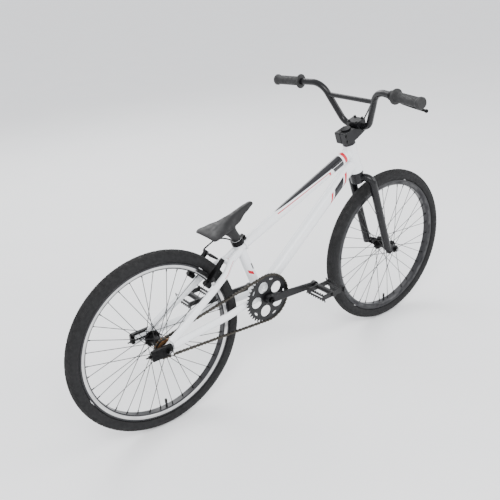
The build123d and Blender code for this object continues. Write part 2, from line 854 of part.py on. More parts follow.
clamp_top = stem_rise + clamp_height
with BuildPart() as steering_fasteners:
    for ahead in (-stem_bolt_ahead, stem_bolt_ahead):
        for left in (-stem_bolt_left, stem_bolt_left):
            low = from_steering(stem_reach + ahead, left, stem_base + 12)
            top = from_steering(stem_reach + ahead, left, clamp_top)
            add(rod(low, top, stem_bolt_radius))
            add(rod(top, top + steer_up * 4, stem_bolt_radius + 1.8))
    for up in (stem_base + 11, stem_base + 31):
        head = from_steering(-pinch_bolt_back, -stem_width / 2, up)
        tail = from_steering(-pinch_bolt_back, 20, up)
        add(rod(tail, from_steering(-pinch_bolt_back, -24, up), stem_bolt_radius))
        add(rod(head, head - across * 3, stem_bolt_radius + 1.8))
        add(rod(head, head + across * 1, stem_bolt_radius))
    for side in (-1, 1):
        nut_start = fork_tip_inner + tip_thickness
        add(axle_nut(front_axle_point, nut_start, side, front_axle_radius, 15, axle_nut_height))
steering_fasteners.part.label = "steering_fasteners"

# ---- handlebar -----------------------------------------------------------------------------
sweep_back = sin(radians(bar_back_sweep))
sweep_up = sin(radians(bar_up_sweep))
grip_run = (bar_half_width - bar_knee) / cos(radians(bar_back_sweep))


def bar_outward(side):
    return (
        across * side * cos(radians(bar_back_sweep)) - steer_ahead * sweep_back + steer_up * sweep_up
    ).normalized()


def bar_knee_point(side):
    return from_steering(stem_reach - 1.2, side * bar_knee, stem_rise + bar_rise)


def bar_end(side):
    return bar_knee_point(side) + bar_outward(side) * grip_run


def bar_route():
    left_half = [bar_end(1), bar_knee_point(1), from_steering(stem_reach, bar_base, stem_rise)]
    right_half = [from_steering(stem_reach, -bar_base, stem_rise), bar_knee_point(-1), bar_end(-1)]
    with BuildLine() as route:
        FilletPolyline(*left_half, *right_half, radius=[65, 45, 45, 65])
    return route.wires()[0]


bar_path = bar_route()
with BuildPart() as bar_outer:
    with BuildSketch(Plane(origin=bar_path @ 0, z_dir=bar_path % 0)):
        Circle(bar_radius)
    sweep(path=bar_path)

knee_share = 1 - crossbar_drop / bar_rise
crossbar_y = bar_base + (bar_knee - bar_base) * knee_share
crossbar_up = stem_rise + bar_rise - crossbar_drop
crossbar_ends = [
    from_steering(stem_reach - 1.2 * knee_share, side * crossbar_y, crossbar_up) for side in (-1, 1)
]
bar_wall = 2.6
with BuildPart() as handlebar:
    add(bar_outer.part)
    add(rod(*crossbar_ends, crossbar_radius))
    with BuildSketch(Plane(origin=bar_path @ 0, z_dir=bar_path % 0)):
        Circle(bar_radius - bar_wall)
    sweep(path=bar_path, mode=Mode.SUBTRACT)
handlebar.part.label = "handlebar"

grip_cap = 3.0
flange_radius = 25.0


def make_grip(side):
    """A rubber grip with an inner flange, ribs and a closed end."""
    outward = bar_outward(side)
    start = bar_end(side) - outward * grip_length
    along = Plane(origin=start, x_dir=outward, z_dir=outward.cross(steer_up))
    with BuildPart() as grip:
        with BuildSketch(along):
            with BuildLine():
                Polyline(
                    (0, 0),
                    (0, flange_radius - 1.5),
                    (1.5, flange_radius),
                    (4.5, flange_radius),
                    (6, flange_radius - 1.5),
                    (8, grip_radius + 2),
                    (14, grip_radius),
                    (grip_length - 16, grip_radius),
                    (grip_length - 8, grip_radius + 3),
                    (grip_length - 1, grip_radius + 3),
                    (grip_length + grip_cap, grip_radius),
                    (grip_length + grip_cap, 0),
                    close=True,
                )
            make_face()
        revolve(axis=Axis(start, outward))
        add(rod(start, start + outward * grip_length, bar_radius), mode=Mode.SUBTRACT)
    return grip


grip_left = make_grip(1)
grip_left.part.label = "grip_left"
grip_right = make_grip(-1)
grip_right.part.label = "grip_right"

# ---- brake lever ---------------------------------------------------------------------------
lever_room = 20.0
lever_slope = 59.0
bar_right = bar_outward(-1)
lever_seat = bar_end(-1) - bar_right * (grip_length + lever_room - 7)
lever_drop = steer_ahead * cos(radians(lever_slope)) - steer_up * sin(radians(lever_slope))
lever_away = (lever_drop - bar_right * lever_drop.dot(bar_right)).normalized()
# local coordinates: outward along the bar, away from the bar
lever_flat = Plane(origin=lever_seat, x_dir=bar_right, z_dir=bar_right.cross(lever_away))
pivot_away = 27.0
lever_pin_radius = 2.5
lever_tongue = 4.0
perch_half = 8.0
barrel_away = 25.0
barrel_start = -14.0
barrel_end = -34.0


def from_lever(along, away, out=0.0):
    return lever_flat.from_local_coords(Vector(along, away, out))


pivot_point = from_lever(0, pivot_away)
pin_half = lever_flat.z_dir * (perch_half + 1)
with BuildPart() as brake_lever_perch:
    add(rod(lever_seat - bar_right * 7, lever_seat + bar_right * 7, bar_radius + 4.5))
    with BuildSketch(lever_flat.offset(-perch_half)):
        with BuildLine():
            Polyline(
                (-7, 4),
                (7, 4),
                (7, 24),
                (8, pivot_away + 5),
                (-6, pivot_away + 8),
                (-16, pivot_away + 4),
                (-16, 20),
                (-7, 14),
                close=True,
            )
        make_face()
        fillet(vertices(), 1.5)
    extrude(amount=2 * perch_half)
    add(rod(from_lever(barrel_start, barrel_away), from_lever(barrel_end, barrel_away), 4))
    add(rod(lever_seat - bar_right * 9, lever_seat + bar_right * 9, bar_radius), mode=Mode.SUBTRACT)
    with BuildSketch(lever_flat.offset(-lever_tongue - body_gap)):
        with Locations((3, pivot_away + 4)):
            Rectangle(22, 26)
    extrude(amount=2 * (lever_tongue + body_gap), mode=Mode.SUBTRACT)
    add(rod(pivot_point - pin_half, pivot_point + pin_half, lever_pin_radius))
brake_lever_perch.part.label = "brake_lever_perch"

lever_tip = 116.0
with BuildLine(lever_flat) as blade_route:
    FilletPolyline((0, pivot_away), (20, pivot_away + 10), (62, 42), (lever_tip, 45), radius=[14, 60])
blade_path = blade_route.wires()[0]
with BuildPart() as brake_lever:
    with BuildSketch(Plane(origin=blade_path @ 0, x_dir=lever_flat.z_dir, z_dir=blade_path % 0)):
        RectangleRounded(2 * lever_tongue, 7, 2)
    sweep(path=blade_path)
    with BuildSketch(lever_flat.offset(-lever_tongue)):
        with Locations((0, pivot_away)):
            Circle(6)
    extrude(amount=2 * lever_tongue)
    with Locations(blade_path @ 1):
        Sphere(6)
    pin_hole = lever_flat.z_dir * 12
    add(
        rod(pivot_point - pin_hole, pivot_point + pin_hole, lever_pin_radius + running_gap),
        mode=Mode.SUBTRACT,
    )
brake_lever.part.label = "brake_lever"

front_loop = (
    from_lever(barrel_end, barrel_away),
    from_lever(barrel_end - 33, barrel_away),
    (352, -102, 921),
    (369, -70, 906),
    (384, -42, 880),
    (393, -17, 845),
    (393, 7, 806),
    (381, 24, 770),
    (357, 33, 741),
    (330, 32, 718),
    (304, 27, 704),
    cable_front_end + top_direction * 25,
    cable_front_end + top_direction * cord_end_gap,
)
brake_cable_front = cable_tube("brake_cable_front", front_loop, cable_diameter)
brake_cable_front.part.label = "brake_cable_front"

# ---- wheels --------------------------------------------------------------------------------
rim_outer_radius = bead_radius + rim_lip
rim_inner_radius = rim_outer_radius - rim_depth
casing_radius = tyre_width / 2
casing_centre = wheel_radius - casing_radius
casing_wall = 2.5
hook_half = rim_width / 2 - rim_wall
rim_gap = 0.2
hub_flange_radius = 26.0
hub_hole_circle = 22.5
hub_body_radius = 17.0
hub_bearing_radius = 13.5
bearing_width = 8.0
flange_thickness = 3.0
front_flange = 30.0
rear_left_flange = 31.0
rear_right_flange = 24.0
spoke_hole = spoke_diameter / 2 + 0.1
spoke_bed = rim_wall + 0.2


def wheel_section(centre):
    """Local coordinates: to the left, and out from the axle."""
    return Plane(origin=centre, x_dir=across, z_dir=(1, 0, 0))


def wheel_point(centre, angle, radius, left):
    return centre + Vector(cos(radians(angle)) * radius, left, sin(radians(angle)) * radius)


def band(low_radius, high_radius, half_width, mode=Mode.ADD):
    """A rectangle of the wheel's section, centred on the wheel's mid plane."""
    with Locations((0, (low_radius + high_radius) / 2)):
        Rectangle(2 * half_width, high_radius - low_radius, mode=mode)


tyre_lip = rim_outer_radius + rim_gap
shoulder_height = 5.8
bead_half = hook_half - 2.8


def make_tyre(centre):
    """A hollow casing whose beads sit between the rim's hooks."""
    with BuildPart() as tyre:
        with BuildSketch(wheel_section(centre)):
            with Locations((0, casing_centre)):
                Circle(casing_radius)
                Circle(casing_radius - casing_wall, mode=Mode.SUBTRACT)
            band(rim_inner_radius, tyre_lip, tyre_width, Mode.SUBTRACT)
            band(tyre_lip, tyre_lip + shoulder_height, casing_radius - 7)
            band(bead_radius, tyre_lip + 1, hook_half)
            band(rim_inner_radius, tyre_lip + shoulder_height + 1, bead_half, Mode.SUBTRACT)
        revolve(axis=Axis(centre, across))
    return tyre


def make_inner_tube(centre):
    """The air tube, and its valve standing in towards the hub at the bottom of the wheel."""
    tube_height = 15.8
    tube_half_width = casing_radius - casing_wall - 2.2
    tube_centre = wheel_radius - casing_wall - rim_gap - tube_height
    valve_places = (tube_centre - tube_height - 0.2, rim_inner_radius - 10, rim_inner_radius - 26)
    valve_points = [wheel_point(centre, -90, radius, 0) for radius in valve_places]
    with BuildPart() as inner_tube:
        with BuildSketch(wheel_section(centre)):
            with Locations((0, tube_centre)):
                Ellipse(tube_half_width, tube_height)
                Ellipse(tube_half_width - 1.2, tube_height - 1.2, mode=Mode.SUBTRACT)
        revolve(axis=Axis(centre, across))
    with BuildPart() as valve:
        add(rod(valve_points[0], valve_points[2], valve_diameter / 2 - 0.5))
        add(rod(valve_points[1], valve_points[2], valve_diameter / 2))
    with BuildPart() as tube_and_valve:
        add(inner_tube.part)
        add(valve.part)
    return tube_and_valve


def nipple_angles():
    return [360 / spoke_count * (number + 0.5) for number in range(spoke_count)]


def make_rim(centre):
    """A double wall rim with a flat brake track, spoke holes and a valve hole."""
    bed_top = rim_inner_radius + spoke_bed
    holes = []
    for number, angle in enumerate(nipple_angles()):
        left = 2 if number % 2 == 0 else -2
        low = wheel_point(centre, angle, rim_inner_radius - 4, left)
        high = wheel_point(centre, angle, bead_radius - 1, left)
        holes.append(rod(low, high, nipple_hole / 2))
    low = wheel_point(centre, -90, rim_inner_radius - 4, 0)
    holes.append(rod(low, wheel_point(centre, -90, bead_radius + 2, 0), valve_diameter / 2 + 0.25))
    half = rim_width / 2
    with BuildPart() as rim:
        with BuildSketch(wheel_section(centre)):
            with BuildLine():
                Polyline(
                    (-half + 5, rim_inner_radius),
                    (half - 5, rim_inner_radius),
                    (half - 0.6, rim_inner_radius + 6),
                    (half, rim_outer_radius - 12.5),
                    (half, rim_outer_radius - 0.8),
                    (half - 0.8, rim_outer_radius),
                    (hook_half, rim_outer_radius),
                    (hook_half, bead_radius),
                    (7, bead_radius),
                    (5.5, bead_radius - 3),
                    (-5.5, bead_radius - 3),
                    (-7, bead_radius),
                    (-hook_half, bead_radius),
                    (-hook_half, rim_outer_radius),
                    (-half + 0.8, rim_outer_radius),
                    (-half, rim_outer_radius - 0.8),
                    (-half, rim_outer_radius - 12.5),
                    (-half + 0.6, rim_inner_radius + 6),
                    close=True,
                )
            make_face()
            with BuildLine():
                Polyline(
                    (-half + 6.5, bed_top),
                    (half - 6.5, bed_top),
                    (half - 3, rim_inner_radius + 7),
                    (half - 3, bead_radius - 5),
                    (-half + 3, bead_radius - 5),
                    (-half + 3, rim_inner_radius + 7),
                    close=True,
                )
            make_face(mode=Mode.SUBTRACT)
        revolve(axis=Axis(centre, across))
        add(holes, mode=Mode.SUBTRACT)
    return rim


def make_spokes(centre, left_flange, right_flange):
    """Crossed spokes with their nipples: each leaves its flange a third of a turn's half away."""
    step = 360 / (spoke_count / 4)
    nipple_length = 11.0
    spokes = []
    for number in range(4):
        angle = nipple_angles()[number]
        side = 1 if number % 2 == 0 else -1
        flange_y = left_flange if side > 0 else -right_flange
        leading = number < 2
        hub_angle = angle + (60 if leading else -60)
        out_sign = 1 if leading else -1
        face = side * out_sign * (flange_thickness / 2 + 0.1)
        stand = side * out_sign * (spoke_diameter / 2 + (0.9 if leading else 0))
        start = wheel_point(centre, hub_angle, hub_hole_circle, flange_y + face + stand)
        through = wheel_point(centre, hub_angle, hub_hole_circle, flange_y - face)
        rim_left = 2 * side
        end = wheel_point(centre, angle, rim_inner_radius + 1, rim_left)
        inward = (start - end).normalized()
        with BuildPart() as spoke:
            add(rod(start, end, spoke_diameter / 2))
            add(rod(start, through, spoke_diameter / 2))
            with Locations(start):
                Sphere(spoke_diameter / 2)
            add(rod(through, through + across * side * out_sign * -0.9, spoke_diameter * 0.9))
            add(rod(end + inward * nipple_length, end, spoke_diameter / 2 + 0.8))
        for turn in range(spoke_count // 4):
            spokes.append(spoke.part.rotate(Axis(centre, across), step * turn))
    with BuildPart() as wheel_spokes:
        add(spokes)
    return wheel_spokes


def make_hub(centre, left_flange, right_flange, left_end, right_end, body_radius):
    """A hub shell with two drilled flanges and a bearing seat in each end."""
    with BuildPart() as hub:
        with BuildSketch(wheel_section(centre)):
            with BuildLine():
                Polyline(
                    (-right_end, rear_axle_radius + 3),
                    (-right_end, body_radius),
                    (-right_flange - flange_thickness / 2, body_radius),
                    (-right_flange - flange_thickness / 2, hub_flange_radius),
                    (-right_flange + flange_thickness / 2, hub_flange_radius),
                    (-right_flange + flange_thickness / 2, body_radius + 1),
                    (-right_flange + 9, body_radius - 2),
                    (left_flange - 9, body_radius - 2),
                    (left_flange - flange_thickness / 2, body_radius + 1),
                    (left_flange - flange_thickness / 2, hub_flange_radius),
                    (left_flange + flange_thickness / 2, hub_flange_radius),
                    (left_flange + flange_thickness / 2, body_radius),
                    (left_end, body_radius),
                    (left_end, rear_axle_radius + 3),
                    close=True,
                )
            make_face()
        revolve(axis=Axis(centre, across))
        for side, end in ((-1, right_end), (1, left_end)):
            outer_end = centre + across * side * end
            add(
                rod(outer_end - across * side * bearing_width, outer_end, hub_bearing_radius),
                mode=Mode.SUBTRACT,
            )
        holes = []
        for number, angle in enumerate(nipple_angles()):
            flange_y = left_flange if number % 2 == 0 else -right_flange
            low = wheel_point(centre, angle, hub_hole_circle, flange_y - 3)
            high = wheel_point(centre, angle, hub_hole_circle, flange_y + 3)
            holes.append(rod(low, high, spoke_hole))
        add(holes, mode=Mode.SUBTRACT)
    return hub


def make_hub_bearings(centre, left_end, right_end, axle_radius):
    with BuildPart() as bearings:
        for side, end in ((-1, right_end), (1, left_end)):
            outer_end = centre + across * side * end
            inner_end = outer_end - across * side * bearing_width
            add(rod(inner_end, outer_end, hub_bearing_radius, axle_radius + running_gap))
    return bearings


cone_gap = 0.5
front_hub_end = fork_tip_inner - cone_length - cone_gap
rear_hub_end = dropout_inner - cone_length - cone_gap
wheels = {
    "front": (front_axle_point, front_flange, front_flange, front_hub_end, front_axle_radius, 14.5),
    "rear": (rear_axle_point, rear_left_flange, rear_right_flange, rear_hub_end, rear_axle_radius, 17.0),
}
wheel_parts = {}
for end_name, (centre, left, right, hub_end, axle_radius, body_radius) in wheels.items():
    wheel_parts[f"{end_name}_tyre"] = make_tyre(centre)
    wheel_parts[f"{end_name}_inner_tube"] = make_inner_tube(centre)
    wheel_parts[f"{end_name}_rim"] = make_rim(centre)
    wheel_parts[f"{end_name}_spokes"] = make_spokes(centre, left, right)
    wheel_parts[f"{end_name}_hub"] = make_hub(centre, left, right, hub_end, hub_end, body_radius)
    wheel_parts[f"{end_name}_hub_bearings"] = make_hub_bearings(centre, hub_end, hub_end, axle_radius)
for node, piece in wheel_parts.items():
    piece.part.label = node


# ---- chainring, freewheel and cranks -------------------------------------------------------
ring_tooth_flare = 2.0
cog_tooth_flare = 3.0


def sprocket_outline(teeth, seat, tooth_flare):
    """A toothed disc: round seats for the rollers, and gaps that widen towards the tips."""
    radius = pitch_radius(teeth)
    tip = radius + 4.2
    with BuildSketch(Plane.XY) as gap:
        with Locations((radius, 0)):
            Circle(seat)
        with BuildLine():
            Polyline(
                (radius, -seat),
                (tip + 1, -seat - tooth_flare),
                (tip + 1, seat + tooth_flare),
                (radius, seat),
                close=True,
            )
        make_face()
    with BuildSketch(Plane.XY) as outline:
        Circle(tip)
        with PolarLocations(0, teeth):
            add(gap.sketch, mode=Mode.SUBTRACT)
    return outline.sketch


tooth_thickness = 3.0
roller_seat = roller_radius + 0.15
ring_flat = Plane(origin=ring_centre + across * tooth_thickness / 2, x_dir=-to_cog, z_dir=-across)
cog_flat = Plane(origin=cog_centre + across * tooth_thickness / 2, x_dir=to_cog, z_dir=-across)
spider_arms = 5
ring_band = ring_radius - 11.0
arm_pin_circle = 56.0
spindle_fit = spindle_radius
chainring_outline = sprocket_outline(chainring_teeth, roller_seat, ring_tooth_flare)
with BuildPart() as chainring:
    with BuildSketch(ring_flat):
        add(chainring_outline)
        with PolarLocations(0, spider_arms, start_angle=36):
            with Locations((46, 0)):
                Ellipse(20.5, 20, mode=Mode.SUBTRACT)
        with PolarLocations(0, spider_arms):
            with Locations((ring_band - 5, 0)):
                Ellipse(3.4, 9, mode=Mode.SUBTRACT)
        Circle(spindle_fit, mode=Mode.SUBTRACT)
    extrude(amount=tooth_thickness)
chainring.part.label = "chainring"

freewheel_radius = 26.0
freewheel_start = rear_right_flange + flange_thickness / 2 + 2 * spoke_diameter + body_gap
hub_thread_radius = 17.0
cog_outline = sprocket_outline(cog_teeth, roller_seat, cog_tooth_flare)
with BuildPart() as freewheel_cog:
    with BuildSketch(cog_flat):
        add(cog_outline)
    extrude(amount=tooth_thickness)
    inner_face = rear_axle_point - across * freewheel_start
    outer_face = rear_axle_point - across * (rear_hub_end - 0.5)
    add(rod(inner_face, outer_face, freewheel_radius))
    bore_start = inner_face + across
    add(
        rod(bore_start, outer_face - across, hub_thread_radius + running_gap),
        mode=Mode.SUBTRACT,
    )
freewheel_cog.part.label = "freewheel_cog"

spindle_half = crank_inner + crank_thickness
with BuildPart() as crank_spindle:
    add(rod(crank_point - across * spindle_half, crank_point + across * spindle_half, spindle_radius, 5))
crank_spindle.part.label = "crank_spindle"

arm_boss_radius = 17.0
crank_bolt_radius = 9.0
crank_washer_radius = crank_bolt_radius + 2
arm_end_radius = 13.0
pedal_eye_y = crank_inner + crank_sweep


def pedal_eye(side):
    """Where the pedal axle leaves the crank arm: the right arm points ahead."""
    return crank_point + Vector(-side * crank_length, side * pedal_eye_y, 0)


def crank_arm(side):
    """A forged arm: a boss on the spindle, a swept bar and an eye for the pedal axle."""
    boss_inner = crank_point + across * side * crank_inner
    eye_inner = pedal_eye(side)
    thick = across * side * crank_thickness
    start = boss_inner + thick * 0.5 + Vector(-side * 4, 0, 0)
    end = eye_inner + thick * 0.5 + Vector(side * 4, 0, 0)
    along = Plane(origin=start, x_dir=(0, 0, 1), z_dir=end - start)
    with BuildPart() as arm:
        add(rod(boss_inner, boss_inner + thick, arm_boss_radius))
        add(rod(eye_inner, eye_inner + thick, arm_end_radius))
        with BuildSketch(along):
            RectangleRounded(30, crank_thickness - 1, 4)
        with BuildSketch(along.offset((end - start).length)):
            RectangleRounded(21, crank_thickness - 2, 4)
        loft()
        for centre, radius in ((crank_point, spindle_radius), (eye_inner, pedal_axle_radius)):
            ends = across * (pedal_eye_y + 2 * crank_thickness)
            add(rod(centre - ends, centre + ends, radius), mode=Mode.SUBTRACT)
        bolt_seat = boss_inner + thick
        add(rod(bolt_seat, bolt_seat + thick, crank_washer_radius + 0.5), mode=Mode.SUBTRACT)
    return arm


crank_arm_left = crank_arm(1)
crank_arm_left.part.label = "crank_arm_left"
crank_arm_right = crank_arm(-1)
crank_arm_right.part.label = "crank_arm_right"

with BuildPart() as crank_bolts:
    for side in (-1, 1):
        seat = crank_point + across * side * spindle_half
        face = Plane(origin=seat, x_dir=(1, 0, 0), z_dir=across * side)
        add(rod(seat, seat + across * side * 2.5, crank_washer_radius))
        with BuildSketch(face):
            RegularPolygon(crank_bolt_radius - 1, 6, major_radius=False)
        extrude(amount=8)
        with BuildSketch(face.offset(8)):
            Circle(4)
        extrude(amount=-5, mode=Mode.SUBTRACT)
        add(rod(seat - across * side * 24, seat, 5))
crank_bolts.part.label = "crank_bolts"

pedal_shoulder = 6.0
pedal_start = crank_thickness + pedal_shoulder + body_gap
pedal_axle_end = pedal_start + pedal_length - 6
with BuildPart() as pedal_axles:
    for side in (-1, 1):
        eye = pedal_eye(side)
        outward = across * side
        add(rod(eye, eye + outward * pedal_axle_end, pedal_axle_radius))
        add(rod(eye + outward * crank_thickness, eye + outward * (pedal_start - body_gap), 8))
pedal_axles.part.label = "pedal_axles"


def make_pedal(side):
    """A platform pedal: a barrel on the axle, two webs and a toothed cage plate front and back."""
    start = pedal_eye(side) + across * side * pedal_start
    flat = Plane(origin=start, x_dir=(1, 0, 0), z_dir=across * side)
    half = pedal_depth / 2
    with BuildPart() as pedal:
        add(rod(start, start + across * side * pedal_length, 9.5))
        for offset in (6, pedal_length - 10):
            with BuildSketch(flat.offset(offset)):
                RectangleRounded(pedal_depth - 4, 16, 4)
            extrude(amount=5)
        for place in (-half + 1.5, half - 1.5):
            cage_side = start + Vector(place, 0, 0)
            with BuildSketch(Plane(origin=cage_side, x_dir=across * side, z_dir=(1, 0, 0))):
                with Locations((pedal_length / 2, 0)):
                    Rectangle(pedal_length, 18)
                    with GridLocations(pedal_length / 8, 22, 9, 2):
                        Circle(2.5)
                    Rectangle(pedal_length - 22, 6, mode=Mode.SUBTRACT)
            extrude(amount=1.5, both=True)
        bore_end = start + across * side * (pedal_length - 4)
        add(rod(start, bore_end, pedal_axle_radius + running_gap), mode=Mode.SUBTRACT)
    return pedal


pedal_left = make_pedal(1)
pedal_left.part.label = "pedal_left"
pedal_right = make_pedal(-1)
pedal_right.part.label = "pedal_right"

# ---- rear brake ----------------------------------------------------------------------------
arm_reach = 92.0
barrel_low = boss_top + turning_gap
barrel_high = stud_top - turning_gap
pad_gap = 2.0
pad_radius = 252.0
pad_thickness = 9.0
pad_sweep = 8.0
pad_post_radius = 3.0
pad_out = pad_radius - pivot_radius
arm_half_thickness = 5.0


def brake_arm(side):
    """A brake arm on its stud, with holes for the pad's post and for the cable at its top."""
    foot = brake_foot + across * side * brake_spread
    with BuildPart() as arm:
        add(rod(foot + brake_back * barrel_low, foot + brake_back * barrel_high, 9))
        with BuildSketch(brake_flat.offset(-arm_half_thickness)):
            with BuildLine():
                Polyline(
                    (side * (brake_spread - 8), 0),
                    (side * (brake_spread - 10), 30),
                    (side * (brake_spread - 9), arm_reach),
                    (side * (brake_spread + 3), arm_reach),
                    (side * (brake_spread + 8), 45),
                    (side * (brake_spread + 8), 0),
                    close=True,
                )
            make_face()
        extrude(amount=2 * arm_half_thickness)
        corners = edges().filter_by(GeomType.LINE)
        corners = corners.filter_by(lambda edge: abs((edge % 0.5).dot(brake_back)) > 0.99)
        fillet(corners.filter_by(lambda edge: edge.length < 11), 2)
        stud = foot + brake_back * (boss_top - 5)
        add(rod(stud, foot + brake_back * (stud_top + 5), stud_radius + running_gap), mode=Mode.SUBTRACT)
        post = brake_pivot + brake_out * pad_out
        add(rod(post, post + across * side * 80, pad_post_radius), mode=Mode.SUBTRACT)
        hole = noodle_radius if side > 0 else 1.2
        add(rod(noodle_entry, noodle_entry + across * side * 80, hole), mode=Mode.SUBTRACT)
    return arm


brake_arm_left = brake_arm(1)
brake_arm_left.part.label = "brake_arm_left"
brake_arm_right = brake_arm(-1)
brake_arm_right.part.label = "brake_arm_right"


def brake_pad(side):
    """A curved rubber block with its threaded post and washers."""
    inner_y = rim_width / 2 + pad_gap
    start = side * inner_y if side < 0 else inner_y + pad_thickness
    middle = degrees(brake_angle)
    with BuildPart() as pad:
        with BuildSketch(side_view(rear_axle_point, start)):
            with BuildLine():
                low = CenterArc((0, 0), pad_radius - 5, middle - pad_sweep, 2 * pad_sweep)
                high = CenterArc((0, 0), pad_radius + 5, middle - pad_sweep, 2 * pad_sweep)
                Line(low @ 0, high @ 0)
                Line(low @ 1, high @ 1)
            make_face()
        extrude(amount=pad_thickness)
        post = brake_pivot + brake_out * pad_out
        post_inner = inner_y + pad_thickness
        post_outer = post + across * side * (brake_spread + 14)
        add(rod(post + across * side * post_inner, post_outer, pad_post_radius))
        washer_end = brake_spread - 10.5
        add(rod(post + across * side * post_inner, post + across * side * washer_end, 7))
        nut_start = post + across * side * (brake_spread + 8)
        add(rod(nut_start, nut_start + across * side * 5, 5.5))
    return pad


brake_pad_left = brake_pad(1)
brake_pad_left.part.label = "brake_pad_left"
brake_pad_right = brake_pad(-1)
brake_pad_right.part.label = "brake_pad_right"

with BuildLine() as noodle_route:
    FilletPolyline(*noodle_points, radius=[13])
noodle_path = noodle_route.wires()[0]
with BuildPart() as brake_noodle:
    with BuildSketch(Plane(origin=noodle_path @ 0, z_dir=noodle_path % 0)):
        Circle(noodle_radius)
    sweep(path=noodle_path)
    add(rod(wire_start, noodle_points[0] + across * 6, 4.5))
    add(rod(wire_start - across, noodle_points[0] + across * 7, 0.9), mode=Mode.SUBTRACT)
brake_noodle.part.label = "brake_noodle"

# ---- saddle and seat post ------------------------------------------------------------------
saddle_tail = Vector(-300, 0, 584)
saddle_slope = 17.5
saddle_ahead = Vector(cos(radians(saddle_slope)), 0, sin(radians(saddle_slope)))
saddle_up = Vector(-sin(radians(saddle_slope)), 0, cos(radians(saddle_slope)))
saddle_stations = (
    (0, 60, 5),
    (14, 67, 9),
    (45, 58, 13),
    (80, 36, 14),
    (115, 21, 14),
    (160, 17, 13),
    (190, 15, 12),
    (199, 8, 7),
)
with BuildPart() as saddle:
    for ahead, half_width, half_height in saddle_stations:
        with BuildSketch(Plane(origin=saddle_tail + saddle_ahead * ahead, x_dir=across, z_dir=saddle_ahead)):
            Ellipse(half_width, half_height)
    loft()
saddle.part.label = "saddle"

post_low = seat_top - seat_up * seat_post_depth
post_neck = seat_top + seat_up * 8
saddle_seat = saddle_tail + saddle_ahead * 112
with BuildPart() as post_blank:
    add(rod(post_low, post_neck, seat_post_radius))
    with BuildSketch(Plane(origin=post_neck - seat_up * 4, x_dir=across, z_dir=seat_up)):
        RectangleRounded(30, 38, 8)
    with BuildSketch(Plane(origin=saddle_seat, x_dir=across, z_dir=saddle_up)):
        RectangleRounded(26, 70, 8)
    loft()
    add(rod(post_low, seat_top, seat_post_radius - 2.5), mode=Mode.SUBTRACT)
    add(saddle.part, mode=Mode.SUBTRACT)
whole_post = post_blank.part.solids().sort_by(SortBy.VOLUME)[-1]
with BuildPart() as seat_post:
    add(whole_post)
seat_post.part.label = "seat_post"

# ---- one file for each piece ---------------------------------------------------------------
pieces = [
    head_tube,
    headset_bearings,
    bottom_bracket_shell,
    bottom_bracket_bearings,
    seat_tube,
    down_tube,
    top_tube,
    chain_stays,
    seat_stays,
    rear_dropouts,
    chain_tensioners,
    rear_axle,
    seat_collar,
    frame_fasteners,
    brake_cable_front,
    brake_cable_frame,
    brake_cable_rear_whole,
    cable_clips,
    chain,
    fork_steerer,
    fork_leg_left,
    fork_leg_right,
    front_axle,
    headset_spacers,
    stem,
    stem_clamp_plate,
    steering_fasteners,
    handlebar,
    grip_left,
    grip_right,
    brake_lever_perch,
    brake_lever,
    *wheel_parts.values(),
    chainring,
    freewheel_cog,
    crank_spindle,
    crank_arm_left,
    crank_arm_right,
    crank_bolts,
    pedal_axles,
    pedal_left,
    pedal_right,
    brake_arm_left,
    brake_arm_right,
    brake_pad_left,
    brake_pad_right,
    brake_noodle,
    saddle,
    seat_post,
]
os.makedirs("parts", exist_ok=True)
for piece in pieces:
    export_step(piece.part, f"parts/{piece.part.label}.step")
print("nodes", len(pieces))
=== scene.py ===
import bpy
import math
from mathutils import Matrix, Vector


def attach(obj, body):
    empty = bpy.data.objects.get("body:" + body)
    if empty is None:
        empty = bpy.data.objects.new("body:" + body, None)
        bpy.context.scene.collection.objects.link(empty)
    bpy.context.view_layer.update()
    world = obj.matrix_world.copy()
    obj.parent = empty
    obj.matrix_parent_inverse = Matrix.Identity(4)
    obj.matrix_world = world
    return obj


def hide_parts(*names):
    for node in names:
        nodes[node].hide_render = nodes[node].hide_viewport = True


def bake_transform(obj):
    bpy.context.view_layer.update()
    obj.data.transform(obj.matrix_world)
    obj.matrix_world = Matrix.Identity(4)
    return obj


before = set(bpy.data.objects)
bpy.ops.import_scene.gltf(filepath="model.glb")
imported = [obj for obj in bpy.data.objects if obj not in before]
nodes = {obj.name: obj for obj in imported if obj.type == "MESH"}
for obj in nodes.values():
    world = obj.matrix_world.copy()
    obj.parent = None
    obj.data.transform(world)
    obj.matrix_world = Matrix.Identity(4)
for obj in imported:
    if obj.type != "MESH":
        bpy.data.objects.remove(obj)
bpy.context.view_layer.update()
print("frame loaded")

# places that several pieces share, in metres
rearAxle = Vector((-0.506, 0, 0.298))
frontAxle = Vector((0.506, 0, 0.298))
crankPoint = Vector((-0.1064, 0, 0.317))
topTubeFront = Vector((0.3258, 0, 0.7128))
topTubeRear = Vector((-0.1722, 0, 0.508))
downTubeFront = Vector((0.3378, 0, 0.6723))
seatTop = Vector((-0.1832, 0, 0.5401))
seatUp = Vector((-0.3256, 0, 0.9455))
seatAhead = Vector((0.9455, 0, 0.3256))
acrossBike = Vector((0, 1, 0))


# camera, lights and floor
camera = {
    "place": (-1.2785, -1.6046, 1.3858),
    "right": Vector((0.7944, -0.6038, -0.0658)),
    "up": Vector((0.2994, 0.2949, 0.9074)),
    "forward": Vector((0.5285, 0.7406, -0.4150)),
    "lens": 48.07,
}


def addCamera():
    data = bpy.data.cameras.new("viewCamera")
    data.lens = camera["lens"]
    data.sensor_width = 36
    data.clip_end = 100
    obj = bpy.data.objects.new("viewCamera", data)
    bpy.context.scene.collection.objects.link(obj)
    turn = Matrix((camera["right"], camera["up"], -camera["forward"])).transposed()
    obj.matrix_world = Matrix.Translation(camera["place"]) @ turn.to_4x4()
    bpy.context.scene.camera = obj


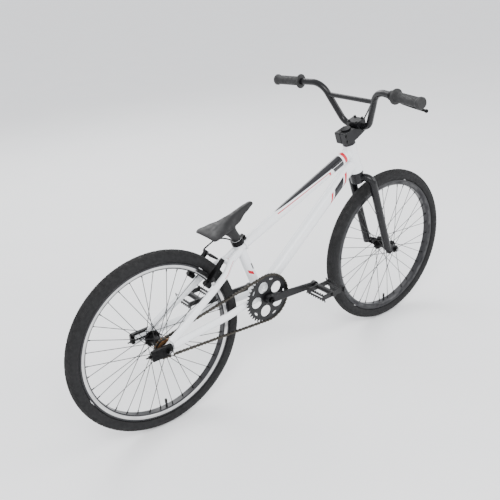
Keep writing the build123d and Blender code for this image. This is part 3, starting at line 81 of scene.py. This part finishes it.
lights = [
    {"name": "keyLight", "place": (-1.8, -2.6, 3.4), "target": (0, 0, 0.4), "size": 2.6, "power": 150},
    {"name": "fillLight", "place": (2.6, -2.2, 2.4), "target": (0.1, 0, 0.4), "size": 2.4, "power": 60},
    {"name": "backLight", "place": (0.6, 3.2, 2.8), "target": (0, 0, 0.5), "size": 2.6, "power": 80},
]
lightShape = 0.7  # height over width of every light
studio = {"sky": (0.96, 0.97, 1.0, 1), "strength": 1.5, "floor": 80}


def addLight(name, place, target, size, power):
    data = bpy.data.lights.new(name, "AREA")
    data.shape = "RECTANGLE"
    data.size = size
    data.size_y = size * lightShape
    data.energy = power
    obj = bpy.data.objects.new(name, data)
    bpy.context.scene.collection.objects.link(obj)
    obj.location = place
    obj.rotation_euler = (Vector(target) - Vector(place)).to_track_quat("-Z", "Y").to_euler()


addCamera()
for light in lights:
    addLight(**light)
world = bpy.data.worlds.new("studioWorld")
bpy.context.scene.world = world
world.use_nodes = True
world.node_tree.nodes["Background"].inputs["Color"].default_value = studio["sky"]
world.node_tree.nodes["Background"].inputs["Strength"].default_value = studio["strength"]
bpy.ops.mesh.primitive_plane_add(size=studio["floor"], location=(0, 0, 0))
floor = bpy.context.object
floor.name = "studioFloor"
print("camera, lights and floor set")


# materials
class Shade:
    # a node tree with short ways to add sums, noise and masks

    def __init__(self, name, colour, rough, metal=0.0, coat=0.0):
        self.mat = bpy.data.materials.new(name)
        self.mat.use_nodes = True
        self.nodes = self.mat.node_tree.nodes
        self.links = self.mat.node_tree.links
        self.shader = self.nodes["Principled BSDF"]
        self.shader.inputs["Base Color"].default_value = (*colour, 1)
        self.shader.inputs["Roughness"].default_value = rough
        self.shader.inputs["Metallic"].default_value = metal
        self.shader.inputs["Coat Weight"].default_value = coat
        self.shader.inputs["Coat Roughness"].default_value = 0.08
        self.coords = self.nodes.new("ShaderNodeTexCoord").outputs["Object"]
        self.bumps = None

    def put(self, socket, value):
        if hasattr(value, "is_linked"):
            self.links.new(value, socket)
        else:
            socket.default_value = value

    def calc(self, op, a, b=0.0, c=None, clamp=False):
        # one math node, in the order its sockets have
        node = self.nodes.new("ShaderNodeMath")
        node.operation = op
        node.use_clamp = clamp
        self.put(node.inputs[0], a)
        self.put(node.inputs[1], b)
        if c is not None:
            self.put(node.inputs[2], c)
        return node.outputs[0]

    def along(self, origin, direction):
        # how far a point lies from origin along direction
        shift = self.nodes.new("ShaderNodeVectorMath")
        shift.operation = "SUBTRACT"
        self.links.new(self.coords, shift.inputs[0])
        shift.inputs[1].default_value = origin
        dot = self.nodes.new("ShaderNodeVectorMath")
        dot.operation = "DOT_PRODUCT"
        self.links.new(shift.outputs[0], dot.inputs[0])
        dot.inputs[1].default_value = direction
        return dot.outputs["Value"]

    def fromAxle(self, axle):
        # how far a point lies from the axle's line
        x = self.along(axle, Vector((1, 0, 0)))
        z = self.along(axle, Vector((0, 0, 1)))
        return self.calc("SQRT", self.calc("ADD", self.calc("MULTIPLY", x, x), self.calc("MULTIPLY", z, z)))

    def noise(self, scale, detail=4.0, stretch=None):
        node = self.nodes.new("ShaderNodeTexNoise")
        node.inputs["Scale"].default_value = scale
        node.inputs["Detail"].default_value = detail
        if stretch:
            mapping = self.nodes.new("ShaderNodeMapping")
            mapping.inputs["Scale"].default_value = stretch
            self.links.new(self.coords, mapping.inputs["Vector"])
            self.links.new(mapping.outputs[0], node.inputs["Vector"])
        else:
            self.links.new(self.coords, node.inputs["Vector"])
        return node.outputs["Fac"]

    def remap(self, value, low, high, toLow, toHigh):
        node = self.nodes.new("ShaderNodeMapRange")
        self.put(node.inputs["Value"], value)
        node.inputs["From Min"].default_value = low
        node.inputs["From Max"].default_value = high
        node.inputs["To Min"].default_value = toLow
        node.inputs["To Max"].default_value = toHigh
        return node.outputs["Result"]

    def mix(self, mask, under, over):
        node = self.nodes.new("ShaderNodeMix")
        node.data_type = "RGBA"
        self.put(node.inputs["Factor"], mask)
        self.put(node.inputs["A"], under if hasattr(under, "is_linked") else (*under, 1))
        self.put(node.inputs["B"], over if hasattr(over, "is_linked") else (*over, 1))
        return node.outputs["Result"]

    def colour(self, value):
        self.put(self.shader.inputs["Base Color"], value)

    def roughness(self, value):
        self.put(self.shader.inputs["Roughness"], value)

    def metallic(self, value):
        self.put(self.shader.inputs["Metallic"], value)

    def bump(self, height, distance, strength=1.0):
        node = self.nodes.new("ShaderNodeBump")
        node.inputs["Strength"].default_value = strength
        node.inputs["Distance"].default_value = distance
        self.put(node.inputs["Height"], height)
        if self.bumps:
            self.links.new(self.bumps, node.inputs["Normal"])
        self.bumps = node.outputs[0]
        self.links.new(self.bumps, self.shader.inputs["Normal"])

    def below(self, value, edge, soft=0.0006):
        # 1 where value is under edge and 0 over it, with a soft step
        return self.calc("MULTIPLY_ADD", self.calc("SUBTRACT", edge, value), 1 / soft, 0.5, clamp=True)

    def above(self, value, edge, soft=0.0006):
        return self.calc("MULTIPLY_ADD", self.calc("SUBTRACT", value, edge), 1 / soft, 0.5, clamp=True)

    def between(self, value, span):
        return self.both(self.above(value, span[0]), self.below(value, span[1]))

    def both(self, a, b):
        return self.calc("MULTIPLY", a, b)

    def either(self, a, b):
        return self.calc("MAXIMUM", a, b)


def give(material, *names):
    for name in names:
        mesh = nodes[name].data if isinstance(name, str) else name.data
        mesh.materials.clear()
        mesh.materials.append(material)


whitePaint = {
    "colour": (0.80, 0.815, 0.83), "cloud": (0.775, 0.79, 0.81), "shade": (0.70, 0.715, 0.735),
    "rough": 0.16, "coat": 0.2, "peel": 420,
}
graphics = {"black": (0.006, 0.006, 0.008), "red": (0.52, 0.012, 0.03)}


def paintBase(name):
    s = Shade(name, whitePaint["colour"], whitePaint["rough"], coat=whitePaint["coat"])
    s.shader.inputs["Specular IOR Level"].default_value = 0.4
    cloudy = s.remap(s.noise(9, 3), 0.35, 0.7, 0, 1)
    dust = s.remap(s.noise(260, 5), 0.62, 0.8, 0, 0.22)
    base = s.mix(cloudy, whitePaint["colour"], whitePaint["cloud"])
    base = s.mix(dust, base, whitePaint["shade"])
    s.roughness(s.remap(s.noise(35, 4), 0.3, 0.7, 0.12, 0.26))
    s.bump(s.noise(whitePaint["peel"], 2), 0.00012, 0.35)
    return s, base


def makeWhite():
    s, base = paintBase("framePaint")
    s.colour(base)
    return s.mat


# spans are along the tube from its front end, heights are above its middle line
topTubeMarks = {
    "wedge": (0.058, 0.47), "taper": (0.05, 0.40), "rise": (0.006, 0.0186),
    "blockFoot": -0.0145, "blockLean": 0.35, "blockEnd": 0.108,
    "split": (0.0045, 0.0058), "splitEnd": 0.112,
    "lineGap": (0.0045, 0.0072), "line": (0.122, 0.37),
    "hook": (0.122, 0.130), "hookHeight": (-0.0085, 0.0025),
    "collar": (0.038, 0.050), "collarFoot": -0.012,
}


def makeTopTubePaint():
    # a long black wedge that narrows toward the saddle, with red keylines
    s, base = paintBase("topTubePaint")
    marks = topTubeMarks
    back = (topTubeRear - topTubeFront).normalized()
    up = Vector((back.z, 0, -back.x))
    run = s.along(topTubeFront, back)
    height = s.along(topTubeFront, up)
    wedgeEdge = s.remap(run, *marks["taper"], *marks["rise"])
    wedge = s.both(s.above(height, wedgeEdge), s.above(run, marks["wedge"][0]))
    wedge = s.both(wedge, s.below(run, marks["wedge"][1]))
    blockEdge = s.calc("MULTIPLY_ADD", height, marks["blockLean"], marks["blockEnd"])
    blockRun = s.both(s.above(run, marks["wedge"][0]), s.below(run, blockEdge))
    lowBlock = s.both(s.above(height, marks["blockFoot"]), blockRun)
    split = s.both(s.between(height, marks["split"]), s.below(run, marks["splitEnd"]))
    black = s.both(s.either(wedge, lowBlock), s.calc("SUBTRACT", 1.0, split))
    line = s.between(s.calc("SUBTRACT", wedgeEdge, height), marks["lineGap"])
    line = s.both(line, s.between(run, marks["line"]))
    hook = s.both(s.between(run, marks["hook"]), s.between(height, marks["hookHeight"]))
    collar = s.both(s.between(run, marks["collar"]), s.above(height, marks["collarFoot"]))
    red = s.either(s.either(line, hook), collar)
    s.colour(s.mix(red, s.mix(black, base, graphics["black"]), graphics["red"]))
    return s.mat


downTubeMarks = {
    "back": Vector((-0.7562, 0, -0.6543)), "up": Vector((-0.6543, 0, 0.7562)), "lean": 1.2,
    "block": (0.092, 0.148), "stripes": ((0.071, 0.083), (0.157, 0.169)), "band": (-0.021, 0.017),
    "line": (0.27, 0.49), "lineHeight": (-0.0125, -0.0112), "lineSide": 0.004,
}


def makeDownTubePaint():
    # a black block between two red stripes near the head, then a thin dark line
    s, base = paintBase("downTubePaint")
    marks = downTubeMarks
    height = s.along(downTubeFront, marks["up"])
    run = s.calc("MULTIPLY_ADD", height, marks["lean"], s.along(downTubeFront, marks["back"]))
    side = s.calc("ABSOLUTE", s.along(downTubeFront, acrossBike))
    band = s.between(height, marks["band"])
    black = s.both(s.between(run, marks["block"]), band)
    red = s.both(s.either(*[s.between(run, stripe) for stripe in marks["stripes"]]), band)
    line = s.both(s.between(height, marks["lineHeight"]), s.between(run, marks["line"]))
    line = s.both(line, s.above(side, marks["lineSide"]))
    black = s.either(black, line)
    s.colour(s.mix(red, s.mix(black, base, graphics["black"]), graphics["red"]))
    return s.mat


seatTubeMarks = {
    "lean": 0.9, "red": (0.094, 0.108), "redAhead": (-0.012, 0.003),
    "dark": (0.118, 0.142), "darkAhead": 0.005,
}


def makeSeatTubePaint():
    # a short red and dark slash above the cranks
    s, base = paintBase("seatTubePaint")
    marks = seatTubeMarks
    height = s.along(crankPoint, seatUp)
    ahead = s.along(crankPoint, seatAhead)
    lean = s.calc("MULTIPLY_ADD", ahead, marks["lean"], height)
    red = s.both(s.between(lean, marks["red"]), s.between(ahead, marks["redAhead"]))
    dark = s.both(s.between(lean, marks["dark"]), s.above(ahead, marks["darkAhead"]))
    s.colour(s.mix(red, s.mix(dark, base, graphics["black"]), graphics["red"]))
    return s.mat


stayMarks = {
    "back": Vector((-0.8457, 0, -0.5336)), "up": Vector((-0.5336, 0, 0.8457)),
    "line": (0.05, 0.115), "lineHeight": (0.0015, 0.0035),
}


def makeStayPaint():
    # one thin red line behind the seat tube
    s, base = paintBase("stayPaint")
    run = s.along(topTubeRear, stayMarks["back"].normalized())
    height = s.along(topTubeRear, stayMarks["up"])
    line = s.both(s.between(height, stayMarks["lineHeight"]), s.between(run, stayMarks["line"]))
    s.colour(s.mix(line, base, graphics["red"]))
    return s.mat


blackPaint = {"colour": (0.004, 0.004, 0.005), "rubbed": (0.014, 0.014, 0.015)}


def makeBlackPaint(name, gloss):
    s = Shade(name, blackPaint["colour"], gloss)
    s.shader.inputs["Specular IOR Level"].default_value = 0.3
    rub = s.remap(s.noise(55, 6), 0.60, 0.78, 0, 0.5)
    s.colour(s.mix(rub, blackPaint["colour"], blackPaint["rubbed"]))
    s.roughness(s.remap(s.noise(24, 5), 0.3, 0.7, gloss * 0.75, gloss * 1.35))
    s.bump(s.noise(600, 3), 0.0001, 0.3)
    return s.mat


def makeAlloy(name, colour, rough):
    s = Shade(name, colour, rough, metal=1.0)
    streak = s.noise(180, 5, (1, 6, 1))
    lighter = tuple(min(1, c * 1.35 + 0.01) for c in colour)
    s.colour(s.mix(s.remap(streak, 0.35, 0.75, 0, 0.8), colour, lighter))
    s.roughness(s.remap(s.noise(40, 4), 0.3, 0.7, rough * 0.7, rough * 1.4))
    s.bump(streak, 0.00008, 0.5)
    return s.mat


rimFinish = {
    "dark": (0.016, 0.016, 0.018), "dirt": (0.2, 0.2, 0.2), "rough": 0.3, "metal": 0.4,
    "track": (0.2440, 0.2535), "trackSide": 0.0115, "grooves": 9000.0,
}


def makeRim(name, axle, trackColour, trackRough):
    # dark anodised well and side, with the pads' track in its own colour
    s = Shade(name, rimFinish["dark"], rimFinish["rough"])
    radius = s.fromAxle(axle)
    wide = s.calc("ABSOLUTE", s.along(axle, acrossBike))
    track = s.both(s.between(radius, rimFinish["track"]), s.above(wide, rimFinish["trackSide"]))
    groove = s.calc("SINE", s.calc("MULTIPLY", radius, rimFinish["grooves"]))
    dirty = s.remap(s.noise(30, 5), 0.4, 0.75, 0, 0.35)
    bright = s.mix(dirty, trackColour, rimFinish["dirt"])
    s.colour(s.mix(track, rimFinish["dark"], bright))
    s.metallic(s.remap(track, 0, 1, rimFinish["metal"], 1.0))
    s.roughness(s.remap(track, 0, 1, rimFinish["rough"], trackRough))
    s.bump(s.calc("MULTIPLY", groove, track), 0.00005, 0.4)
    return s.mat


def makeRubber(name, colour, rough, grainScale=900):
    s = Shade(name, colour, rough)
    s.shader.inputs["Specular IOR Level"].default_value = 0.3
    dusty = s.remap(s.noise(14, 6), 0.45, 0.8, 0, 0.5)
    paler = tuple(c * 1.6 + 0.003 for c in colour)
    s.colour(s.mix(dusty, colour, paler))
    s.roughness(s.remap(s.noise(70, 4), 0.3, 0.7, rough - 0.1, min(1, rough + 0.12)))
    s.bump(s.noise(grainScale, 3), 0.0002, 0.5)
    return s.mat


tyreFinish = {
    "colour": (0.007, 0.007, 0.0075), "dusty": (0.013, 0.013, 0.0135), "worn": (0.024, 0.0235, 0.023),
    "rough": 0.72, "crown": (0.285, 0.298), "rings": 5200.0,
}


def makeTyreRubber(name, axle):
    # greyer where the tread meets the ground, with fine rings down the side
    s = Shade(name, tyreFinish["colour"], tyreFinish["rough"])
    s.shader.inputs["Specular IOR Level"].default_value = 0.25
    radius = s.fromAxle(axle)
    crown = s.remap(radius, *tyreFinish["crown"], 0, 0.7)
    worn = s.both(crown, s.remap(s.noise(60, 6), 0.35, 0.7, 0, 1))
    dusty = s.remap(s.noise(12, 5), 0.4, 0.8, 0, 0.6)
    base = s.mix(dusty, tyreFinish["colour"], tyreFinish["dusty"])
    s.colour(s.mix(worn, base, tyreFinish["worn"]))
    s.roughness(s.remap(s.noise(90, 4), 0.3, 0.7, 0.6, 0.85))
    rings = s.calc("SINE", s.calc("MULTIPLY", radius, tyreFinish["rings"]))
    s.bump(rings, 0.0001, 0.35)
    s.bump(s.noise(1100, 3), 0.00015, 0.4)
    return s.mat


gripFinish = {
    "colour": (0.006, 0.006, 0.0065), "dusty": (0.015, 0.015, 0.015), "rough": 0.62,
    "ringed": (0.010, 0.104), "rings": 1150.0,
}


def makeGripRubber(name, end, direction):
    # raised rings round the grip, and a smooth part by the flange
    s = Shade(name, gripFinish["colour"], gripFinish["rough"])
    run = s.along(end, direction)
    rings = s.calc("SINE", s.calc("MULTIPLY", run, gripFinish["rings"]))
    inner = s.between(run, gripFinish["ringed"])
    dusty = s.remap(s.noise(30, 5), 0.4, 0.75, 0, 0.8)
    s.colour(s.mix(dusty, gripFinish["colour"], gripFinish["dusty"]))
    s.roughness(s.remap(s.noise(80, 4), 0.3, 0.7, 0.5, 0.75))
    s.bump(s.calc("MULTIPLY", rings, inner), 0.0009, 0.9)
    s.bump(s.noise(1400, 2), 0.0001, 0.4)
    return s.mat


mats = {
    "gripLeft": makeGripRubber("gripRubberLeft", (0.2832, 0.3340, 0.9305), (0.1407, -0.9897, -0.0271)),
    "gripRight": makeGripRubber("gripRubberRight", (0.2832, -0.3340, 0.9305), (0.1407, 0.9897, -0.0271)),
    "white": makeWhite(),
    "topTube": makeTopTubePaint(),
    "downTube": makeDownTubePaint(),
    "seatTube": makeSeatTubePaint(),
    "stays": makeStayPaint(),
    "glossBlack": makeBlackPaint("glossBlack", 0.26),
    "satinBlack": makeBlackPaint("satinBlack", 0.38),
    "blackAlloy": makeAlloy("blackAlloy", (0.009, 0.009, 0.0095), 0.42),
    "zincSteel": makeAlloy("zincSteel", (0.56, 0.56, 0.57), 0.26),
    "darkSteel": makeAlloy("darkSteel", (0.03, 0.03, 0.03), 0.34),
    "chainSteel": makeAlloy("chainSteel", (0.05, 0.046, 0.04), 0.36),
    "cogSteel": makeAlloy("cogSteel", (0.26, 0.15, 0.075), 0.36),
    "frontRim": makeRim("frontRimFinish", frontAxle, (0.03, 0.03, 0.032), 0.3),
    "rearRim": makeRim("rearRimFinish", rearAxle, (0.6, 0.6, 0.6), 0.28),
    "frontTyre": makeTyreRubber("frontTyreRubber", frontAxle),
    "rearTyre": makeTyreRubber("rearTyreRubber", rearAxle),
    "rubber": makeRubber("softRubber", (0.006, 0.006, 0.0065), 0.62),
    "housing": makeRubber("cableHousing", (0.006, 0.006, 0.0065), 0.4, 1500),
    "saddle": makeRubber("saddleSkin", (0.008, 0.008, 0.0085), 0.5, 750),
    "plastic": makeRubber("mouldedPlastic", (0.007, 0.007, 0.0075), 0.45, 1300),
}
floorFinish = {"colour": (0.9, 0.9, 0.9), "cloud": (0.88, 0.885, 0.89), "rough": 0.75}
floorShade = Shade("floorPaper", floorFinish["colour"], floorFinish["rough"])
floorCloud = floorShade.remap(floorShade.noise(3, 3), 0.3, 0.7, 0, 1)
floorShade.colour(floorShade.mix(floorCloud, floorFinish["colour"], floorFinish["cloud"]))
give(floorShade.mat, floor)

finishes = {
    "white": ["head_tube", "bottom_bracket_shell", "chain_stays", "rear_dropouts"],
    "topTube": ["top_tube"],
    "downTube": ["down_tube"],
    "seatTube": ["seat_tube"],
    "stays": ["seat_stays"],
    "glossBlack": ["fork_steerer", "fork_leg_left", "fork_leg_right", "handlebar"],
    "satinBlack": [
        "crank_arm_left", "crank_arm_right", "chainring", "stem", "stem_clamp_plate", "headset_spacers",
    ],
    "blackAlloy": [
        "front_hub", "rear_hub", "brake_lever_perch", "brake_lever", "brake_arm_left", "brake_arm_right",
        "chain_tensioners", "seat_collar", "crank_bolts",
    ],
    "zincSteel": [
        "headset_bearings", "bottom_bracket_bearings", "front_hub_bearings", "rear_hub_bearings",
        "rear_axle", "front_axle",
    ],
    "darkSteel": [
        "frame_fasteners", "steering_fasteners", "crank_spindle", "pedal_axles",
        "front_spokes", "rear_spokes",
    ],
    "chainSteel": ["chain"],
    "cogSteel": ["freewheel_cog"],
    "frontRim": ["front_rim"],
    "rearRim": ["rear_rim"],
    "frontTyre": ["front_tyre"],
    "rearTyre": ["rear_tyre"],
    "rubber": ["front_inner_tube", "rear_inner_tube", "brake_pad_left", "brake_pad_right"],
    "gripLeft": ["grip_left"],
    "gripRight": ["grip_right"],
    "housing": ["brake_noodle", "brake_cable_front", "brake_cable_frame", "brake_cable_rear"],
    "plastic": ["cable_clips", "pedal_left", "pedal_right", "seat_post", "saddle"],
}
for finish, names in finishes.items():
    give(mats[finish], *names)
print("materials made")


# tools for new pieces
def deselectAll():
    if bpy.context.object and bpy.context.object.mode != "OBJECT":
        bpy.ops.object.mode_set(mode="OBJECT")
    bpy.ops.object.select_all(action="DESELECT")


def activate(obj):
    deselectAll()
    obj.select_set(True)
    bpy.context.view_layer.objects.active = obj


def settle(obj, name, angle):
    # names a finished piece and leaves its place in its mesh
    activate(obj)
    bpy.ops.object.transform_apply(location=True, rotation=True, scale=True)
    bpy.ops.object.shade_smooth_by_angle(angle=math.radians(angle))
    obj.name = name


def applyAll(obj):
    activate(obj)
    for modifier in list(obj.modifiers):
        bpy.ops.object.modifier_apply(modifier=modifier.name)


def selectFaces(obj, test):
    bpy.ops.object.mode_set(mode="EDIT")
    bpy.ops.mesh.select_mode(type="FACE")
    bpy.ops.mesh.select_all(action="DESELECT")
    bpy.ops.object.mode_set(mode="OBJECT")
    for face in obj.data.polygons:
        face.select = test(face)
    bpy.ops.object.mode_set(mode="EDIT")


def joinAll(objs):
    deselectAll()
    for obj in objs:
        obj.select_set(True)
    bpy.context.view_layer.objects.active = objs[0]
    bpy.ops.object.join()
    return objs[0]


def turnTo(direction):
    # turns a piece that was made upright to point along direction
    return Vector((0, 0, 1)).rotation_difference(direction.normalized()).to_euler()


# tyres with small tread blocks
tyre = {
    "ringRadius": 0.2756, "sectionRadius": 0.0212, "around": 260, "across": 30, "wall": 0.0022,
    "mouth": -0.0155, "treadLean": 66, "rowLean": 12, "block": 0.0011, "gap": 0.0007,
}


def addTyre(name, axle, body, cadName, material):
    deselectAll()
    bpy.ops.mesh.primitive_torus_add(
        major_segments=tyre["around"], minor_segments=tyre["across"], location=axle,
        rotation=(math.pi / 2, 0, 0), major_radius=tyre["ringRadius"], minor_radius=tyre["sectionRadius"],
    )
    obj = bpy.context.object
    bpy.ops.object.transform_apply(location=True, rotation=True, scale=True)

    def place(point):
        flat = Vector((point.x - axle.x, 0, point.z - axle.z))
        return flat.length - tyre["ringRadius"], point.y

    # the shell has no inside wall where it grips the rim
    selectFaces(obj, lambda f: place(f.center)[0] < tyre["mouth"])
    bpy.ops.mesh.delete(type="FACE")
    bpy.ops.object.mode_set(mode="OBJECT")

    def inTread(face):
        out, side = place(face.center)
        lean = math.degrees(math.atan2(side, out))
        if abs(lean) > tyre["treadLean"]:
            return False
        around = math.atan2(face.center.z - axle.z, face.center.x - axle.x) / (2 * math.pi) * tyre["around"]
        row = round((lean - tyre["rowLean"] / 2) / tyre["rowLean"])
        column = math.floor(around)
        if abs(row) <= 1:
            return (column + row) % 3 != 0
        return (column + abs(row)) % 2 == 0

    selectFaces(obj, inTread)
    bpy.ops.mesh.inset(thickness=tyre["gap"], depth=0, use_individual=True)
    bpy.ops.mesh.extrude_region_shrink_fatten(TRANSFORM_OT_shrink_fatten={"value": tyre["block"]})
    bpy.ops.object.mode_set(mode="OBJECT")
    solid = obj.modifiers.new("wall", "SOLIDIFY")
    solid.thickness = tyre["wall"]
    solid.offset = -1
    applyAll(obj)
    settle(obj, name, 35)
    give(material, obj)
    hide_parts(cadName)
    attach(obj, body)


addTyre("frontTyreTread", frontAxle, "front_wheel", "front_tyre", mats["frontTyre"])
addTyre("rearTyreTread", rearAxle, "rear_wheel", "rear_tyre", mats["rearTyre"])
print("tyres made")


# saddle: a thin crowned shell with a hanging edge, over a short neck
saddle = {
    "tail": Vector((-0.300, 0, 0.584)),
    "ahead": Vector((0.9537, 0, 0.3007)), "up": Vector((-0.3007, 0, 0.9537)),
    "long": 26, "wide": 16, "wall": 0.006, "tuck": 0.12,
    # ahead of the tail, half width, edge drop, crown height
    "stations": [
        (0.000, 0.057, 0.003, 0.004), (0.012, 0.067, 0.006, 0.008), (0.045, 0.059, 0.014, 0.010),
        (0.080, 0.041, 0.026, 0.011), (0.115, 0.027, 0.030, 0.012), (0.160, 0.019, 0.018, 0.013),
        (0.190, 0.014, 0.010, 0.011), (0.199, 0.006, 0.004, 0.006),
    ],
}


def saddleStation(ahead):
    # the station's row at that distance, eased from one row to the next
    rows = saddle["stations"]
    for before, after in zip(rows, rows[1:]):
        if ahead <= after[0]:
            share = (ahead - before[0]) / (after[0] - before[0])
            share = share * share * (3 - 2 * share)
            return [a + (b - a) * share for a, b in zip(before, after)]
    return rows[-1]


def addSaddle():
    deselectAll()
    bpy.ops.mesh.primitive_grid_add(x_subdivisions=saddle["long"], y_subdivisions=saddle["wide"], size=2)
    obj = bpy.context.object
    length = saddle["stations"][-1][0]
    for vertex in obj.data.vertices:
        ahead = (vertex.co.x + 1) / 2 * length
        side = vertex.co.y
        _, half, drop, crown = saddleStation(ahead)
        sink = drop * abs(side) ** 3
        pull = 1 - saddle["tuck"] * abs(side) ** 6
        place = saddle["tail"] + saddle["ahead"] * ahead + saddle["up"] * (crown - sink)
        vertex.co = place + acrossBike * side * half * pull
    shell = obj.modifiers.new("wall", "SOLIDIFY")
    shell.thickness = saddle["wall"]
    shell.offset = -1
    smooth = obj.modifiers.new("smooth", "SUBSURF")
    smooth.levels = 2
    smooth.render_levels = 2
    applyAll(obj)
    activate(obj)
    bpy.ops.object.mode_set(mode="EDIT")
    bpy.ops.mesh.select_all(action="SELECT")
    bpy.ops.mesh.normals_make_consistent(inside=False)
    bpy.ops.object.mode_set(mode="OBJECT")
    settle(obj, "saddleShell", 60)
    give(mats["saddle"], obj)
    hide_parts("saddle")
    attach(obj, "saddle_post")


neck = {
    "sides": 40, "radius": 0.0156, "start": 0.0008, "top": 0.012,
    "step": 0.0032, "inside": 0.11, "edge": 0.0012,
    # move, longer, wider
    "flare": [
        (Vector((-0.008, 0, 0.011)), 1.1, 1.0), (Vector((-0.010, 0, 0.012)), 1.3, 0.95),
        (Vector((-0.006, 0, 0.010)), 1.3, 0.9),
    ],
}


def addNeck():
    # the post, flared and set back; it ends under the shell and leaves a gap
    start = seatTop + seatUp * neck["start"]
    top = seatTop + seatUp * neck["top"]
    deselectAll()
    bpy.ops.mesh.primitive_cylinder_add(
        vertices=neck["sides"], radius=neck["radius"], depth=(top - start).length,
        location=(start + top) / 2, rotation=turnTo(seatUp),
    )
    obj = bpy.context.object
    bpy.ops.object.transform_apply(location=True, rotation=True, scale=True)
    selectFaces(obj, lambda f: f.normal.dot(seatUp) < -0.9)
    bpy.ops.mesh.inset(thickness=neck["step"])
    bpy.ops.mesh.extrude_region_move(TRANSFORM_OT_translate={"value": seatUp * -neck["inside"]})
    bpy.ops.object.mode_set(mode="OBJECT")
    selectFaces(obj, lambda f: f.normal.dot(seatUp) > 0.9)
    middle = top.copy()
    for move, longer, wider in neck["flare"]:
        bpy.ops.mesh.extrude_region_move(TRANSFORM_OT_translate={"value": move})
        middle = middle + move
        bpy.ops.transform.resize(value=(longer, wider, 1), center_override=middle)
    bpy.ops.object.mode_set(mode="OBJECT")
    edge = obj.modifiers.new("edge", "BEVEL")
    edge.width = neck["edge"]
    edge.segments = 2
    applyAll(obj)
    settle(obj, "saddleNeck", 50)
    give(mats["plastic"], obj)
    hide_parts("seat_post")
    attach(obj, "saddle_post")


addSaddle()
addNeck()
print("saddle made")


# ribbed boot over the brake wire
boot = {
    "middle": Vector((-0.2748, 0.0, 0.5098)), "half": 0.019, "rings": 9, "sides": 28,
    "radius": 0.0032, "rib": 0.0019, "large": 1.15, "taper": 0.35,
}


def addBoot():
    # a row of ribs that get smaller, round a plain core
    deselectAll()
    turn = (math.pi / 2, 0, 0)
    bpy.ops.mesh.primitive_torus_add(
        major_segments=boot["sides"], minor_segments=10, rotation=turn,
        major_radius=boot["radius"], minor_radius=boot["rib"],
    )
    rib = bpy.context.object
    bpy.ops.object.transform_apply(location=True, rotation=True, scale=True)
    ribs = []
    for i in range(boot["rings"]):
        copy = rib.copy()
        copy.data = rib.data.copy()
        bpy.context.scene.collection.objects.link(copy)
        share = i / (boot["rings"] - 1)
        size = boot["large"] - boot["taper"] * share
        copy.scale = (size, 1, size)
        copy.location = boot["middle"] + acrossBike * boot["half"] * (1 - 2 * share)
        ribs.append(copy)
    bpy.data.objects.remove(rib)
    bpy.ops.mesh.primitive_cylinder_add(
        vertices=boot["sides"], radius=boot["radius"], depth=boot["half"] * 2.1, location=boot["middle"],
        rotation=turn,
    )
    ribs.append(bpy.context.object)
    obj = joinAll(ribs)
    settle(obj, "brakeBoot", 50)
    give(mats["rubber"], obj)
    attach(obj, "brake_arm_left")


addBoot()
print("boot made")


# weld beads round both ends of the top tube
weld = {"bead": 0.0026, "ripples": 46, "ripple": 0.0006, "direction": Vector((0.9248, 0, 0.3803))}


def addWeld(name, middle, radius):
    # a bead torus, rippled all round
    deselectAll()
    bpy.ops.mesh.primitive_torus_add(
        major_segments=weld["ripples"] * 4, minor_segments=8, major_radius=radius, minor_radius=weld["bead"],
    )
    obj = bpy.context.object
    for vertex in obj.data.vertices:
        turn = math.atan2(vertex.co.y, vertex.co.x)
        vertex.co.z += weld["ripple"] * math.sin(turn * weld["ripples"])
    obj.rotation_euler = turnTo(weld["direction"])
    obj.location = middle
    settle(obj, name, 60)
    give(mats["white"], obj)
    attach(obj, "frame")


addWeld("weldTopHead", Vector((0.3010, 0, 0.7026)), 0.0188)
addWeld("weldTopSeat", Vector((-0.1560, 0, 0.5147)), 0.0178)
print("welds made")


# front brake housing, one smooth line from the bar to the frame
housing = {
    "diameter": 0.005, "length": 0.443,
    "route": [
        (0.3244, -0.1738, 0.9179), (0.3291, -0.1411, 0.9188), (0.352, -0.102, 0.921), (0.369, -0.070, 0.906),
        (0.384, -0.042, 0.880), (0.393, -0.017, 0.845), (0.393, 0.007, 0.806), (0.381, 0.024, 0.770),
        (0.357, 0.033, 0.741), (0.330, 0.032, 0.718), (0.304, 0.027, 0.704), (0.2792, 0.0215, 0.6936),
        (0.2564, 0.0215, 0.6843),
    ],
}


def addHousing():
    curve = bpy.data.curves.new("frontHousing", "CURVE")
    curve.dimensions = "3D"
    curve.resolution_u = 8
    spline = curve.splines.new("NURBS")
    spline.points.add(len(housing["route"]) - 1)
    for point, place in zip(spline.points, housing["route"]):
        point.co = (*place, 1)
    spline.order_u = 3
    spline.use_endpoint_u = True
    line = bpy.data.objects.new("frontHousing", curve)
    bpy.context.scene.collection.objects.link(line)
    bpy.context.view_layer.update()
    middle = bpy.data.meshes.new_from_object(line)
    curve.bevel_depth = housing["diameter"] / 2
    curve.bevel_resolution = 5
    curve.use_fill_caps = True
    activate(line)
    bpy.ops.object.convert(target="MESH")
    obj = bpy.context.object
    settle(obj, "frontHousing", 60)
    give(mats["housing"], obj)
    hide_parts("brake_cable_front")
    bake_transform(obj)


addHousing()
print("brake housing made")

print("done")
